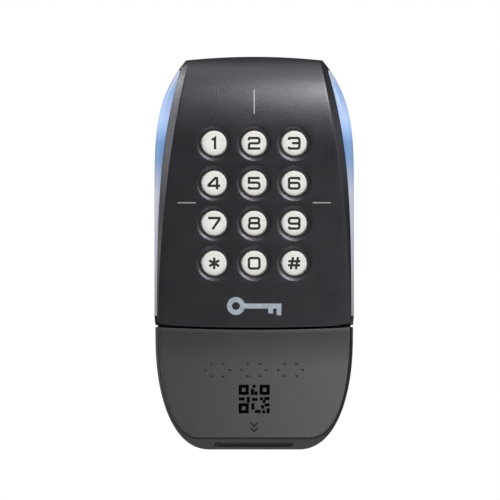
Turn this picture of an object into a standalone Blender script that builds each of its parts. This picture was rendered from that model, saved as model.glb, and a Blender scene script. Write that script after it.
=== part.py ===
"""Keypad access reader: a wall-mounted upper reader with twelve keys, over a code-scanner module.

Frame: +X to the right, +Y into the wall (the wall is the plane Y = 0), +Z up. The origin is on the wall
plate's rear face, on the centre line, half-way up. The functions below work in millimetres: x from the
centre line, depth out from the wall and height up from the reader's lowest edge. place() turns such a
triple into the frame's metres.
"""

import math

import bmesh
import bpy
from mathutils import Vector

MM = 0.001

# Driving dimensions, in millimetres. Pairs are (x, height), and controls of curves likewise.

# Outline and front surface
TOTAL_HEIGHT = 157.1
MID_HEIGHT = TOTAL_HEIGHT / 2
WIDEST = 39.9
SEAM_LOW = 48.0
SEAM_HIGH = 48.75
SEAM_RISE = 1.0
TOP_DROP = 1.5
SHOULDER = 122.0
DEPTH_TOP = 14.0
DEPTH_SHOULDER = 33.0
DEPTH_SEAM = 35.0
FACE_CROWN = 2.2
WALL = 2.0
GAP = 0.3

# Keys
KEY_PITCH = 16.0
KEY_TOP_ROW = 122.5
KEY_RADIUS = 5.05
KEY_HOLE_RADIUS = 5.4
KEY_PROUD = 1.0
KEY_SIDES = 20
FLANGE_RADIUS = 6.3
FLANGE_DROP = 3.0
FLANGE_THICK = 0.9
STEM_RADIUS = 2.5
STEM_END = 27.2
DISH_RADIUS = 6.75
DISH_DEPTH = 1.2

# Wall plate and rear housing
PLATE_THICK = 2.5
PLATE_INSET = 1.0
PLATE_SLOTS = ((-24.0, 126.0), (24.0, 126.0), (-24.0, 28.0), (24.0, 28.0))
REAR_FACE = PLATE_THICK + 0.4
REAR_INSIDE = REAR_FACE + 3.0
CABLE_HEIGHT = 100.0

# Bevel and light strips
BEVEL_DEPTH = 2.5
STRIP_DEPTH = 8.5
STRIP_BOTTOM = 52.5
STRIP_TOP = 152.9
LIP = 0.7
POCKET = 1.5
SKIRT = 3.2

# Scanner module
BASE_FRONT = 15.9
COVER_BACK = BASE_FRONT + GAP
UNDERSIDE_BACK = 22.0
UNDERSIDE_EDGE = 4.6
SIDE_BEVEL = 5.0
FACE_SLOPE = 0.231
FLARE_END = 33.0
LOWER_FRONT = ((22.0, UNDERSIDE_EDGE), (33.5, UNDERSIDE_EDGE), (38.1, 22.0), (38.5, 46.0))
LOWER_OUTER = ((18.0, 0.0), (33.0, 0.0), (39.5, 22.0), (39.5, 44.0))
WINDOW_HALF = 15.7
WINDOW_RUN = 8.4
OPTICS_DEPTH = 29.5

# Electronics
BOARD_DEPTH = 14.0
BOARD_THICK = 1.6
BOARD_HALF = 23.0
BOARD_FRONT = BOARD_DEPTH + BOARD_THICK
KEYPAD_BOARD_DEPTH = 22.6
RIBBON_THICK = 0.5

# Screws and the tamper detector
HOUSING_SCREWS = ((-28.0, 60.0), (28.0, 60.0), (-22.0, 143.0), (22.0, 143.0))
SCANNER_SCREWS = ((-24.0, 32.0), (24.0, 32.0))
MODULE_SCREW_X = 20.0
MODULE_SCREW_DEPTH = 11.0
LOCK_DEPTH = 10.0
SHANK = 1.3
SHANK_HOLE = 1.6
HEAD = 2.7
HEAD_HOLE = 3.0
BOSS_RADIUS = 3.0
COUNTERBORE = ((HEAD_HOLE, 1.0), (HEAD_HOLE, 4.3), (SHANK_HOLE, 4.3), (SHANK_HOLE, 8.0))
PILOT = ((SHANK_HOLE, REAR_INSIDE - 1), (SHANK_HOLE, 16.0))
TAMPER_X = 14.0
TAMPER_HEIGHT = 70.0
TAMPER_FLANGE = 8.0
TAMPER_FLANGE_THICK = 0.9


# ---------------------------------------------------------------------------------------------- outlines

def smooth(value):
    """Ease from 0 to 1 as value goes from 0 to 1."""
    value = min(1.0, max(0.0, value))
    return value * value * (3 - 2 * value)


def silhouette(height):
    """Half-width of the upper reader's outer outline."""
    half = WIDEST - 13.8 * max(0.0, (height - 100) / 57) ** 3.75
    return half - 0.4 * max(0.0, (54 - height) / 4.5) ** 1.5


def rim(height):
    """Half-width at the outer edge of the bevel, which meets the silhouette above the light strips."""
    half = 38.85 - 8.9 * max(0.0, (height - 50) / 100) ** 3.3
    half -= 1.0 * max(0.0, (53 - height) / 3.8) ** 1.8
    join = smooth((height - 151.5) / 2.5)
    return half + (silhouette(height) - half) * join


def face_edge(height):
    """Half-width of the front face, inside the bevel."""
    return 38.4 - 11.7 * ((height - 50) / 104.4) ** 2


def centre_depth(height):
    """How far the front stands out from the wall on the centre line."""
    if height > SHOULDER:
        fall = (height - SHOULDER) / 36.5
        return DEPTH_TOP + (DEPTH_SHOULDER - DEPTH_TOP) * math.sqrt(1 - fall * fall)
    seam = 50.0
    drop = (SHOULDER - max(height, seam)) / (SHOULDER - seam)
    depth = DEPTH_SHOULDER + (DEPTH_SEAM - DEPTH_SHOULDER) * drop * drop
    if height < seam:
        start = 2 * (DEPTH_SEAM - DEPTH_SHOULDER) / (SHOULDER - seam)
        flare = seam - FLARE_END
        along = min(seam - height, flare)
        depth += start * along + (FACE_SLOPE - start) * along * along / (2 * flare)
        depth += FACE_SLOPE * max(0.0, FLARE_END - height)
    return depth


def crown(x):
    """How far the front falls back at x, because it bulges a little at the middle."""
    return FACE_CROWN * (x / 38.7) ** 2


def face_depth(x, height):
    return centre_depth(height) - crown(x)


def parting_depth(height):
    """Depth of the line where the upper reader's rear housing ends and its front begins."""
    return face_depth(face_edge(height), height) - STRIP_DEPTH


def bezier(points, k):
    """A point on the cubic curve with four control points."""
    weights = ((1 - k) ** 3, 3 * (1 - k) ** 2 * k, 3 * (1 - k) * k * k, k ** 3)
    return tuple(sum(w * p[axis] for w, p in zip(weights, points)) for axis in (0, 1))


def place(x, depth, height):
    """The frame's point, in metres, of a triple in millimetres."""
    return Vector((x * MM, -depth * MM, (height - MID_HEIGHT) * MM))


# ------------------------------------------------------------------------------------------ mesh helpers

def clear_scene():
    for thing in list(bpy.data.objects):
        bpy.data.objects.remove(thing, do_unlink=True)


def material(name, colour, roughness, metallic=0.0):
    made = bpy.data.materials.new(name)
    made.use_nodes = True
    shader = made.node_tree.nodes["Principled BSDF"]
    shader.inputs["Base Color"].default_value = (*colour, 1)
    shader.inputs["Roughness"].default_value = roughness
    shader.inputs["Metallic"].default_value = metallic
    return made


def solid(name, bm, finish, origin=None):
    """Make a named object from a bmesh in millimetre triples, with its faces pointing out."""
    bmesh.ops.recalc_face_normals(bm, faces=bm.faces)
    start = place(*origin) if origin else Vector((0, 0, 0))
    for vertex in bm.verts:
        vertex.co = place(*vertex.co) - start
    bmesh.ops.reverse_faces(bm, faces=bm.faces)
    mesh = bpy.data.meshes.new(name)
    bm.to_mesh(mesh)
    bm.free()
    made = bpy.data.objects.new(name, mesh)
    made.location = start
    mesh.materials.append(finish)
    bpy.context.scene.collection.objects.link(made)
    return made


def soften(made, degrees=35):
    made.data.shade_smooth()
    made.data.set_sharp_from_angle(angle=math.radians(degrees))
    return made


def bridge(bm, loop_a, loop_b):
    count = len(loop_a)
    for k in range(count):
        after = (k + 1) % count
        bm.faces.new((loop_a[k], loop_a[after], loop_b[after], loop_b[k]))


def stack(bm, loops, closed_ends=True):
    """Skin a list of equal rings of triples, and cap the first and the last."""
    rings = [[bm.verts.new(point) for point in ring] for ring in loops]
    for ring_a, ring_b in zip(rings, rings[1:]):
        bridge(bm, ring_a, ring_b)
    if closed_ends:
        bm.faces.new(rings[0])
        bm.faces.new(rings[-1])
    else:
        bridge(bm, rings[-1], rings[0])


def turned(bm, x, height, profile, sides):
    """A turned solid about a line out from the wall. The profile is (radius, depth) from end to end."""
    rings = []
    for radius, depth in profile:
        angles = (2 * math.pi * k / sides for k in range(sides))
        rings.append([(x + radius * math.cos(a), depth, height + radius * math.sin(a)) for a in angles])
    stack(bm, rings)


def upright(bm, x, depth, profile, sides):
    """A turned solid about a vertical line. The profile is (radius, height) from end to end."""
    rings = []
    for radius, height in profile:
        angles = (2 * math.pi * k / sides for k in range(sides))
        rings.append([(x + radius * math.cos(a), depth + radius * math.sin(a), height) for a in angles])
    stack(bm, rings)


def block(bm, x_span, depth_span, height_span):
    """A box between two triples."""
    rings = []
    for depth in depth_span:
        low, high = height_span
        left, right = x_span
        rings.append([(left, depth, low), (right, depth, low), (right, depth, high), (left, depth, high)])
    stack(bm, rings)


def cutter(name, bm):
    """An object that only shapes another one."""
    made = solid(name, bm, FINISH["cutter"])
    made.hide_render = True
    made.display_type = "WIRE"
    return made


def combine(target, operation, tool):
    step = target.modifiers.new(tool.name, "BOOLEAN")
    step.operation = operation
    step.object = tool
    step.solver = "EXACT"


def border(columns, rows):
    """The grid places around the edge of a grid, in order."""
    bottom = [(i, 0) for i in range(columns)]
    right = [(columns - 1, j) for j in range(1, rows)]
    top = [(i, rows - 1) for i in range(columns - 2, -1, -1)]
    left = [(0, j) for j in range(rows - 2, 0, -1)]
    return bottom + right + top + left


def sheet_grid(bm, columns, rows, point):
    verts = {(i, j): bm.verts.new(point(i, j)) for i in range(columns) for j in range(rows)}
    for i in range(columns - 1):
        for j in range(rows - 1):
            corners = ((i, j), (i + 1, j), (i + 1, j + 1), (i, j + 1))
            bm.faces.new([verts[c] for c in corners])
    return verts


def bowl(bm, columns, rows, outside, rings, inside):
    """A thick dish: an outer grid, rings that run round its edge and back, and an inner grid."""
    edge = border(columns, rows)
    outer = sheet_grid(bm, columns, rows, outside)
    inner = sheet_grid(bm, columns, rows, inside)
    loops = [[outer[place_ij] for place_ij in edge]]
    for ring in rings:
        loops.append([bm.verts.new(ring(i, j)) for i, j in edge])
    loops.append([inner[place_ij] for place_ij in edge])
    for loop_a, loop_b in zip(loops, loops[1:]):
        bridge(bm, loop_a, loop_b)


def spread(start, end, count):
    """count values from start to end, both included."""
    return [start + (end - start) * k / (count - 1) for k in range(count)]


# ---------------------------------------------------------------------------------- upper reader's shape

UPPER_ACROSS = spread(-1, 1, 9)
UPPER_HEIGHTS = (
    [SEAM_HIGH, STRIP_BOTTOM - 0.8, STRIP_BOTTOM]
    + spread(62, SHOULDER, 6)
    + spread(SHOULDER + 4, STRIP_TOP, 7)
    + [STRIP_TOP + 0.8, STRIP_TOP + 2.0, STRIP_TOP + 3.2, TOTAL_HEIGHT]
)
UPPER_TOP = UPPER_HEIGHTS[-1]


def upper_point(across, row_height, half_width, depth, inset=0.0, end_inset=0.0):
    """A point of the upper reader: across runs from -1 at the left edge to 1 at the right edge."""
    along = (row_height - SEAM_HIGH) / (UPPER_TOP - SEAM_HIGH)
    height = SEAM_HIGH + end_inset + along * (UPPER_TOP - SEAM_HIGH - 2 * end_inset)
    shift = SEAM_RISE * max(0.0, (70 - height) / 20.8) ** 2
    shift -= TOP_DROP * max(0.0, (height - 130) / 27.5) ** 2
    x = across * (half_width(height + shift) - inset)
    height += shift * across * across
    out = depth(x, height) if callable(depth) else depth
    return (x, out, height)


def pocket(row_height):
    """How far the shell's skirt steps in to leave room for a light strip."""
    return POCKET if STRIP_BOTTOM <= row_height <= STRIP_TOP else 0.1


def upper_ring(half_width, depth_of_row, inset=0.0, end_inset=0.0):
    """A ring round the upper reader whose depth goes by the row and by x."""
    def point(i, j):
        row = UPPER_HEIGHTS[j]
        step = inset(row) if callable(inset) else inset
        x, _, height = upper_point(UPPER_ACROSS[i], row, half_width, 0.0, step, end_inset)
        return (x, depth_of_row(x, row), height)
    return point


def bevel_back(x, row):
    return face_depth(x, row) - BEVEL_DEPTH


def make_front_shell():
    bm = bmesh.new()

    def outside(i, j):
        return upper_point(UPPER_ACROSS[i], UPPER_HEIGHTS[j], face_edge, face_depth, 0.0, 0.6)

    def inside(i, j):
        def under(x, height):
            return face_depth(x, height) - WALL
        return upper_point(UPPER_ACROSS[i], UPPER_HEIGHTS[j], rim, under, SKIRT, SKIRT)

    def skirt_back(x, row):
        return parting_depth(row) + 1.4

    rings = [
        upper_ring(rim, bevel_back),
        upper_ring(rim, lambda x, row: bevel_back(x, row) - LIP),
        upper_ring(rim, lambda x, row: bevel_back(x, row) - LIP - 0.05, pocket, 0.1),
        upper_ring(rim, skirt_back, pocket, 0.1),
        upper_ring(rim, skirt_back, SKIRT, SKIRT),
    ]
    bowl(bm, len(UPPER_ACROSS), len(UPPER_HEIGHTS), outside, rings, inside)
    shell = solid("front_shell", bm, FINISH["black_shell"])

    bosses = bmesh.new()
    for x, height in HOUSING_SCREWS:
        boss(bosses, x, height, REAR_INSIDE + GAP)
    combine(shell, "UNION", cutter("shell_bosses", bosses))

    holes = bmesh.new()
    for _, x, height in KEYS:
        front = face_depth(x, height)
        profile = [(KEY_HOLE_RADIUS, front - 5), (KEY_HOLE_RADIUS, front - DISH_DEPTH)]
        profile += [(DISH_RADIUS, front), (DISH_RADIUS + 0.6, front + 1.2)]
        turned(holes, x, height, profile, KEY_SIDES)
    for x, height in HOUSING_SCREWS:
        turned(holes, x, height, PILOT, 10)
    for side in (-1, 1):
        for height in spread(78, 126, 4):
            low = parting_depth(height) + 1.9
            x_span = sorted((side * (rim(height) - SKIRT - 1), side * (rim(height) - POCKET + 0.2)))
            block(holes, x_span, (low, low + 2.5), (height - 3, height + 3))
    combine(shell, "DIFFERENCE", cutter("shell_holes", holes))
    return soften(shell, 30)


def boss(bm, x, height, start, sides=12):
    """A screw boss that rises from start into the wall of the front, whose slope its end follows."""
    low, high = [], []
    for k in range(sides):
        angle = 2 * math.pi * k / sides
        px = x + BOSS_RADIUS * math.cos(angle)
        ph = height + BOSS_RADIUS * math.sin(angle)
        low.append((px, start, ph))
        high.append((px, face_depth(px, ph) - WALL / 2, ph))
    stack(bm, [low, high])


def make_light_guide(name, side):
    """A translucent strip that fills the pocket beside the bevel."""
    rings = []
    for row in UPPER_HEIGHTS:
        if not STRIP_BOTTOM <= row <= STRIP_TOP:
            continue
        row_shown = row
        if row == STRIP_BOTTOM:
            row_shown = row + GAP
        if row == STRIP_TOP:
            row_shown = row - GAP
        inner = upper_point(1, row_shown, rim, 0.0, 0.0)
        outer = upper_point(1, row_shown, silhouette, 0.0, 0.0)
        front = bevel_back(inner[0], row_shown) - LIP - GAP - 0.05
        back = parting_depth(row_shown) + GAP
        width = outer[0] - inner[0]
        height = inner[2]
        profile = [
            (inner[0] - POCKET + GAP, front),
            (inner[0], front),
            (inner[0] + width * 0.45, front - 0.8),
            (inner[0] + width * 0.85, front - 2.2),
            (outer[0] - 0.02, front - 3.6),
            (outer[0] - 0.02, back),
            (inner[0] - POCKET + GAP, back),
        ]
        rings.append([(side * x, depth, height) for x, depth in profile])
    bm = bmesh.new()
    stack(bm, rings)
    return soften(solid(name, bm, FINISH["light_guide"]))


def make_rear_housing():
    bm = bmesh.new()
    columns, rows = len(UPPER_ACROSS), len(UPPER_HEIGHTS)

    def front(x, row):
        return parting_depth(row)

    rings = [
        upper_ring(silhouette, lambda x, row: REAR_FACE, 0.6, 0.6),
        upper_ring(silhouette, front),
        upper_ring(rim, front, SKIRT, SKIRT),
        upper_ring(rim, lambda x, row: front(x, row) - 1.2, SKIRT, SKIRT),
        upper_ring(silhouette, lambda x, row: front(x, row) - 1.5, WALL, WALL),
        upper_ring(silhouette, lambda x, row: REAR_INSIDE, WALL, WALL),
    ]
    edge = border(columns, rows)
    stack(bm, [[ring(i, j) for i, j in edge] for ring in rings])
    housing = solid("rear_housing", bm, FINISH["black_housing"])

    holes = bmesh.new()
    turned(holes, 0, CABLE_HEIGHT, [(6.3, 1), (6.3, 8)], 20)
    turned(holes, TAMPER_X, TAMPER_HEIGHT, [(2.4, 1), (2.4, 8)], 12)
    block(holes, (-8.4, 8.4), (1, 8), (144.4, 147.6))
    block(holes, (-6, 6), (7.4, 9.9), (48, 53))
    for x, height in HOUSING_SCREWS:
        turned(holes, x, height, COUNTERBORE, 10)
    for side in (-1, 1):
        upright(holes, side * MODULE_SCREW_X, MODULE_SCREW_DEPTH, [(SHANK_HOLE, 48), (SHANK_HOLE, 53)], 10)
    combine(housing, "DIFFERENCE", cutter("housing_holes", holes))
    return soften(housing, 30)


def make_housing_gasket():
    bm = bmesh.new()
    edge = border(len(UPPER_ACROSS), len(UPPER_HEIGHTS))

    def low(x, row):
        return parting_depth(row) + 0.6

    def high(x, row):
        return low(x, row) + 0.45

    rings = [
        upper_ring(rim, low, 1.9, 1.9),
        upper_ring(rim, low, 2.9, 2.9),
        upper_ring(rim, high, 2.9, 2.9),
        upper_ring(rim, high, 1.9, 1.9),
    ]
    stack(bm, [[ring(i, j) for i, j in edge] for ring in rings], closed_ends=False)
    return solid("housing_gasket", bm, FINISH["rubber"])


# ----------------------------------------------------------------------------------- keys and their parts

def key_layout():
    """Name, x and height of each key, in four rows of three."""
    names = ("1", "2", "3", "4", "5", "6", "7", "8", "9", "star", "0", "hash")
    places = []
    for k, name in enumerate(names):
        x = KEY_PITCH * (k % 3 - 1)
        places.append(("key_" + name, x, KEY_TOP_ROW - KEY_PITCH * (k // 3)))
    return places


def make_key(name, x, height):
    """A round keycap with a retaining flange behind the shell and a stem that presses the mat."""
    front = face_depth(x, height)
    flange = front - FLANGE_DROP
    profile = [
        (STEM_RADIUS, STEM_END),
        (STEM_RADIUS, flange - FLANGE_THICK),
        (FLANGE_RADIUS, flange - FLANGE_THICK),
        (FLANGE_RADIUS, flange),
        (KEY_RADIUS, flange),
        (KEY_RADIUS, front + KEY_PROUD * 0.45),
        (KEY_RADIUS - 0.45, front + KEY_PROUD * 0.85),
        (KEY_RADIUS - 1.4, front + KEY_PROUD),
    ]
    bm = bmesh.new()
    turned(bm, x, height, profile, KEY_SIDES)
    return soften(solid(name, bm, FINISH["keycap"], (x, front, height)))


def make_keypad_mat():
    mat_front = KEYPAD_BOARD_DEPTH + BOARD_THICK + GAP + 1.0
    bm = bmesh.new()
    block(bm, (-22.5, 22.5), (mat_front - 1.0, mat_front), (67, 130))
    mat = solid("keypad_mat", bm, FINISH["silicone"])
    domes = bmesh.new()
    for _, x, height in KEYS:
        dome = [(4.6, mat_front - 0.5), (4.6, mat_front), (3.2, STEM_END - GAP - 0.3), (2.6, STEM_END - GAP)]
        turned(domes, x, height, dome, 12)
    combine(mat, "UNION", cutter("mat_domes", domes))
    return mat


def make_keypad_board():
    bm = bmesh.new()
    back = KEYPAD_BOARD_DEPTH
    block(bm, (-BOARD_HALF, BOARD_HALF), (back, back + BOARD_THICK), (64, 134))
    return solid("keypad_board", bm, FINISH["circuit_board"])


def make_ribbon(name, path, half_width):
    """A flat ribbon: a path of (depth, height) points, given its thickness and swept across x."""
    half_thick = RIBBON_THICK / 2
    bm = bmesh.new()
    near, far = [], []
    for k, (depth, height) in enumerate(path):
        before = path[max(0, k - 1)]
        after = path[min(len(path) - 1, k + 1)]
        run = Vector((after[0] - before[0], after[1] - before[1])).normalized()
        near.append((depth - run.y * half_thick, height + run.x * half_thick))
        far.append((depth + run.y * half_thick, height - run.x * half_thick))
    outline = near + far[::-1]
    stack(bm, [[(x, d, h) for d, h in outline] for x in (-half_width, half_width)])
    return solid(name, bm, FINISH["ribbon"])


def make_keypad_ribbon():
    """It runs down behind the keypad board, round the antenna's lower bar and up to the main board."""
    back = KEYPAD_BOARD_DEPTH - GAP - RIBBON_THICK / 2
    front = BOARD_FRONT + GAP + RIBBON_THICK / 2
    middle, radius = (back + front) / 2, (back - front) / 2
    bend = [math.pi * k / 8 for k in range(9)]
    path = [(back, 68)]
    path += [(middle + radius * math.cos(a), 59 - radius * math.sin(a)) for a in bend]
    path += [(front, 68)]
    return make_ribbon("keypad_ribbon", path, 6)


# ------------------------------------------------------------------------------------------- electronics

def make_antenna_coil():
    bm = bmesh.new()
    outer = [(-BOARD_HALF, 60), (BOARD_HALF, 60), (BOARD_HALF, 136), (-BOARD_HALF, 136)]
    inner = [(-19, 64), (19, 64), (19, 132), (-19, 132)]
    loops = [(outer, 19.0), (outer, 20.0), (inner, 20.0), (inner, 19.0)]
    stack(bm, [[(x, depth, h) for x, h in ring] for ring, depth in loops], closed_ends=False)
    return solid("antenna_coil", bm, FINISH["antenna"])


def make_main_board():
    """The main board, with the sockets soldered to its rear for the module ribbon."""
    bm = bmesh.new()
    block(bm, (-BOARD_HALF, BOARD_HALF), (BOARD_DEPTH, BOARD_FRONT), (56, 136))
    board = solid("main_board", bm, FINISH["circuit_board"])
    sockets = bmesh.new()
    block(sockets, (-6.5, 6.5), (9.3, BOARD_DEPTH + 0.5), (60, 65))
    block(sockets, (-20, -12), (10.5, BOARD_DEPTH + 0.5), (112, 120))
    block(sockets, (8, 18), (12.0, BOARD_DEPTH + 0.5), (108, 118))
    combine(board, "UNION", cutter("board_sockets", sockets))
    return board


def make_terminal_block():
    bm = bmesh.new()
    block(bm, (-16, 16), (6.6, BOARD_DEPTH - GAP), (80, 88))
    made = solid("terminal_block", bm, FINISH["green_plastic"])
    ways = bmesh.new()
    for x in spread(-13.3, 13.3, 8):
        block(ways, (x - 1.2, x + 1.2), (8, 11), (84, 89))
    combine(made, "DIFFERENCE", cutter("terminal_ways", ways))
    return made


def make_buzzer():
    bm = bmesh.new()
    start = BOARD_FRONT + GAP
    turned(bm, 0, 118, [(6, start), (6, start + 4.6), (5.4, start + 5.2)], 20)
    return soften(solid("buzzer", bm, FINISH["black_housing"]))


def make_led_board(name, side):
    bm = bmesh.new()
    block(bm, sorted((side * 29.0, side * 30.2)), (23.4, 28.2), (74, 130))
    return solid(name, bm, FINISH["circuit_board"])


def make_cable_grommet():
    """A grommet with a groove that grips the rear housing's wall, and a hole for the cable."""
    face, inner = REAR_FACE, REAR_INSIDE
    profile = [(4.2, face - 1.4), (7.6, face - 1.4), (7.6, face - GAP), (6.0, face - GAP)]
    profile += [(6.0, inner + GAP), (7.6, inner + GAP), (7.0, inner + 1.8), (4.2, inner + 1.8)]
    rings = []
    for radius, depth in profile:
        angles = [2 * math.pi * k / 20 for k in range(20)]
        ring = [(radius * math.cos(a), depth, CABLE_HEIGHT + radius * math.sin(a)) for a in angles]
        rings.append(ring)
    bm = bmesh.new()
    stack(bm, rings, closed_ends=False)
    return soften(solid("cable_grommet", bm, FINISH["rubber"]))


# ---------------------------------------------------------------------------------------- tamper detector

def make_tamper_plunger():
    """A pin that the wall holds pressed in; its flange bears on the spring."""
    flange_front = TAMPER_FLANGE + TAMPER_FLANGE_THICK
    profile = [(1.6, 0.2), (2.0, 0.6), (2.0, TAMPER_FLANGE), (3.4, TAMPER_FLANGE)]
    profile += [(3.4, flange_front), (1.4, flange_front), (1.4, 11.2)]
    bm = bmesh.new()
    turned(bm, TAMPER_X, TAMPER_HEIGHT, profile, 14)
    return soften(solid("tamper_plunger", bm, FINISH["white_plastic"], (TAMPER_X, 0, TAMPER_HEIGHT)))


def make_tamper_switch():
    bm = bmesh.new()
    x, height = TAMPER_X, TAMPER_HEIGHT
    block(bm, (x - 1.5, x + 1.5), (11.5, BOARD_DEPTH - GAP), (height - 1.5, height + 1.5))
    return solid("tamper_switch", bm, FINISH["black_housing"])


def make_tamper_spring():
    """A compression spring: a round wire along a helix between the flange and the board."""
    turns, per_turn, wire, mean = 3.5, 12, 0.3, 2.75
    start = TAMPER_FLANGE + TAMPER_FLANGE_THICK + GAP + wire
    end = BOARD_DEPTH - GAP - wire
    count = int(turns * per_turn) + 1
    rings = []
    for k in range(count):
        angle = 2 * math.pi * k / per_turn
        depth = start + (end - start) * k / (count - 1)
        ring = []
        for side in range(6):
            turn = 2 * math.pi * side / 6
            radius = mean + wire * math.cos(turn)
            x = TAMPER_X + radius * math.cos(angle)
            height = TAMPER_HEIGHT + radius * math.sin(angle)
            ring.append((x, depth + wire * math.sin(turn), height))
        rings.append(ring)
    bm = bmesh.new()
    stack(bm, rings)
    return soften(solid("tamper_spring", bm, FINISH["steel"]), 60)


# ------------------------------------------------------------------------------------ wall plate, screws

def make_wall_plate():
    """A flat plate with a hanging hook at the top and a threaded locking lug at the bottom."""
    inset = PLATE_INSET
    top = UPPER_TOP - TOP_DROP
    right = [bezier(LOWER_OUTER, k) for k in LOWER_STEPS]
    right += [(silhouette(h), h) for h in spread(60, top, 16)]
    right = [(x - inset, max(h, inset)) for x, h in right]
    right[-1] = (right[-1][0], top - inset)
    outline = right + [(-x, h) for x, h in reversed(right)]
    bm = bmesh.new()
    stack(bm, [[(x, depth, h) for x, h in outline] for depth in (0.0, PLATE_THICK)])
    plate = solid("wall_plate", bm, FINISH["black_housing"])

    added = bmesh.new()
    block(added, (-8, 8), (PLATE_THICK - 0.5, 7.0), (145.2, 147.0))
    block(added, (-6, 6), (PLATE_THICK - 0.5, 15), (3.4, 9.0))
    combine(plate, "UNION", cutter("plate_lugs", added))

    holes = bmesh.new()
    turned(holes, 0, CABLE_HEIGHT, [(10, -2), (10, 6)], 24)
    turned(holes, TAMPER_X, TAMPER_HEIGHT, [(3, -2), (3, 6)], 12)
    for x, height in PLATE_SLOTS:
        block(holes, (x - 4.5, x + 4.5), (-2, 6), (height - 2.25, height + 2.25))
    upright(holes, 0, LOCK_DEPTH, [(SHANK_HOLE, 2), (SHANK_HOLE, 8)], 10)
    combine(plate, "DIFFERENCE", cutter("plate_holes", holes))
    return plate


def make_housing_screw(name, x, height):
    """A countersunk screw from the rear, through the wall and up the inside of a boss."""
    bm = bmesh.new()
    turned(bm, x, height, [(HEAD, 3.0), (HEAD, 4.0), (SHANK, 4.0), (SHANK, 15.0)], 12)
    return soften(solid(name, bm, FINISH["steel"]))


def make_module_screw(name, side):
    """A screw that ties the scanner module up to the reader's rear housing."""
    bm = bmesh.new()
    profile = [(2.5, 43.6), (2.5, 45.6), (SHANK, 45.6), (SHANK, 54.0)]
    upright(bm, side * MODULE_SCREW_X, MODULE_SCREW_DEPTH, profile, 12)
    return soften(solid(name, bm, FINISH["steel"]))


def make_security_screw():
    """The locking screw, reached from below: its head bears on the base, its thread holds the plate's lug."""
    bm = bmesh.new()
    upright(bm, 0, LOCK_DEPTH, [(HEAD, 0.1), (HEAD, 1.0), (SHANK, 1.0), (SHANK, 7.6)], 16)
    screw = solid("security_screw", bm, FINISH["steel"])
    drive = bmesh.new()
    upright(drive, 0, LOCK_DEPTH, [(1.3, -0.5), (1.3, 0.9)], 6)
    combine(screw, "DIFFERENCE", cutter("screw_drive", drive))
    return soften(screw)


# ---------------------------------------------------------------------------------------- scanner module

LOWER_STEPS = (0.0, 0.1, 0.2, 0.31, 0.43, 0.56, 0.7, 0.83, 0.93)
LOWER_ROWS = len(LOWER_STEPS) + 1
LOWER_ACROSS = spread(-1, 1, 9)


def lower_point(i, j, curve, depth, inset=0.0):
    """A point of the scanner module; the last row runs along the seam."""
    across = LOWER_ACROSS[i]
    if j == LOWER_ROWS - 1:
        x, height = curve[3][0] + 0.05 - inset, SEAM_LOW - inset + SEAM_RISE * across * across
    else:
        k = LOWER_STEPS[j]
        x, height = bezier(curve, k)
        ahead, behind = bezier(curve, k + 0.01), bezier(curve, k - 0.01)
        run = Vector((ahead[0] - behind[0], ahead[1] - behind[1])).normalized()
        x, height = x - inset * run.y, height + inset * run.x
        height += SEAM_RISE * across * across * max(0.0, (height - 36) / 12) ** 2
    x *= across
    out = depth(x, height) if callable(depth) else depth
    return (x, out, height)


def underside_run(j):
    """How far back the outer outline lies behind the front edge, row by row up from the bottom."""
    low = LOWER_STEPS[min(j, len(LOWER_STEPS) - 1)]
    most = centre_depth(UNDERSIDE_EDGE) - UNDERSIDE_BACK
    return SIDE_BEVEL + (most - SIDE_BEVEL) * max(0.0, 1 - low / 0.6) ** 2


def make_scanner_cover():
    def outside(i, j):
        return lower_point(i, j, LOWER_FRONT, face_depth)

    def inside(i, j):
        return lower_point(i, j, LOWER_FRONT, lambda x, h: face_depth(x, h) - WALL, WALL)

    def shoulder(inset, lift):
        def point(i, j):
            front = lower_point(i, j, LOWER_FRONT, face_depth)[1]
            x, _, height = lower_point(i, j, LOWER_OUTER, 0.0, inset)
            return (x, front - underside_run(j) - lift, height)
        return point

    def back(inset):
        return lambda i, j: lower_point(i, j, LOWER_OUTER, COVER_BACK, inset)

    bm = bmesh.new()
    rings = [shoulder(0.0, 0.0), back(0.0), back(WALL), shoulder(WALL, 0.4)]
    bowl(bm, len(LOWER_ACROSS), LOWER_ROWS, outside, rings, inside)
    cover = solid("scanner_cover", bm, FINISH["dark_cover"])

    bosses = bmesh.new()
    for x, height in SCANNER_SCREWS:
        boss(bosses, x, height, REAR_INSIDE + GAP)
    combine(cover, "UNION", cutter("cover_bosses", bosses))

    holes = bmesh.new()
    underside_block(holes, WINDOW_HALF, WINDOW_RUN / 2, -6, 4)
    for x, height in SCANNER_SCREWS:
        turned(holes, x, height, PILOT, 10)
    combine(cover, "DIFFERENCE", cutter("cover_holes", holes))
    return soften(cover, 30)


def underside_frame():
    """Centre, run and outward directions of the slanted underside, as (depth, height) pairs."""
    front = Vector((centre_depth(UNDERSIDE_EDGE), UNDERSIDE_EDGE))
    back = Vector((UNDERSIDE_BACK, 0.0))
    run = (front - back).normalized()
    return back + (front - back) * 0.42, run, Vector((run.y, -run.x))


def underside_block(bm, half_width, half_run, low, high):
    """A box on the slanted underside: low and high are heights over its surface."""
    centre, run, out = underside_frame()
    rings = []
    for lift in (low, high):
        ring = []
        for sx, sr in ((-1, -1), (1, -1), (1, 1), (-1, 1)):
            spot = centre + run * (sr * half_run) + out * lift
            ring.append((sx * half_width, spot.x, spot.y))
        rings.append(ring)
    stack(bm, rings)


def make_scanner_window():
    bm = bmesh.new()
    underside_block(bm, WINDOW_HALF - 1.6, WINDOW_RUN / 2 - 1.6, -1.9, -0.5)
    return solid("scanner_window", bm, FINISH["window"])


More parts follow.
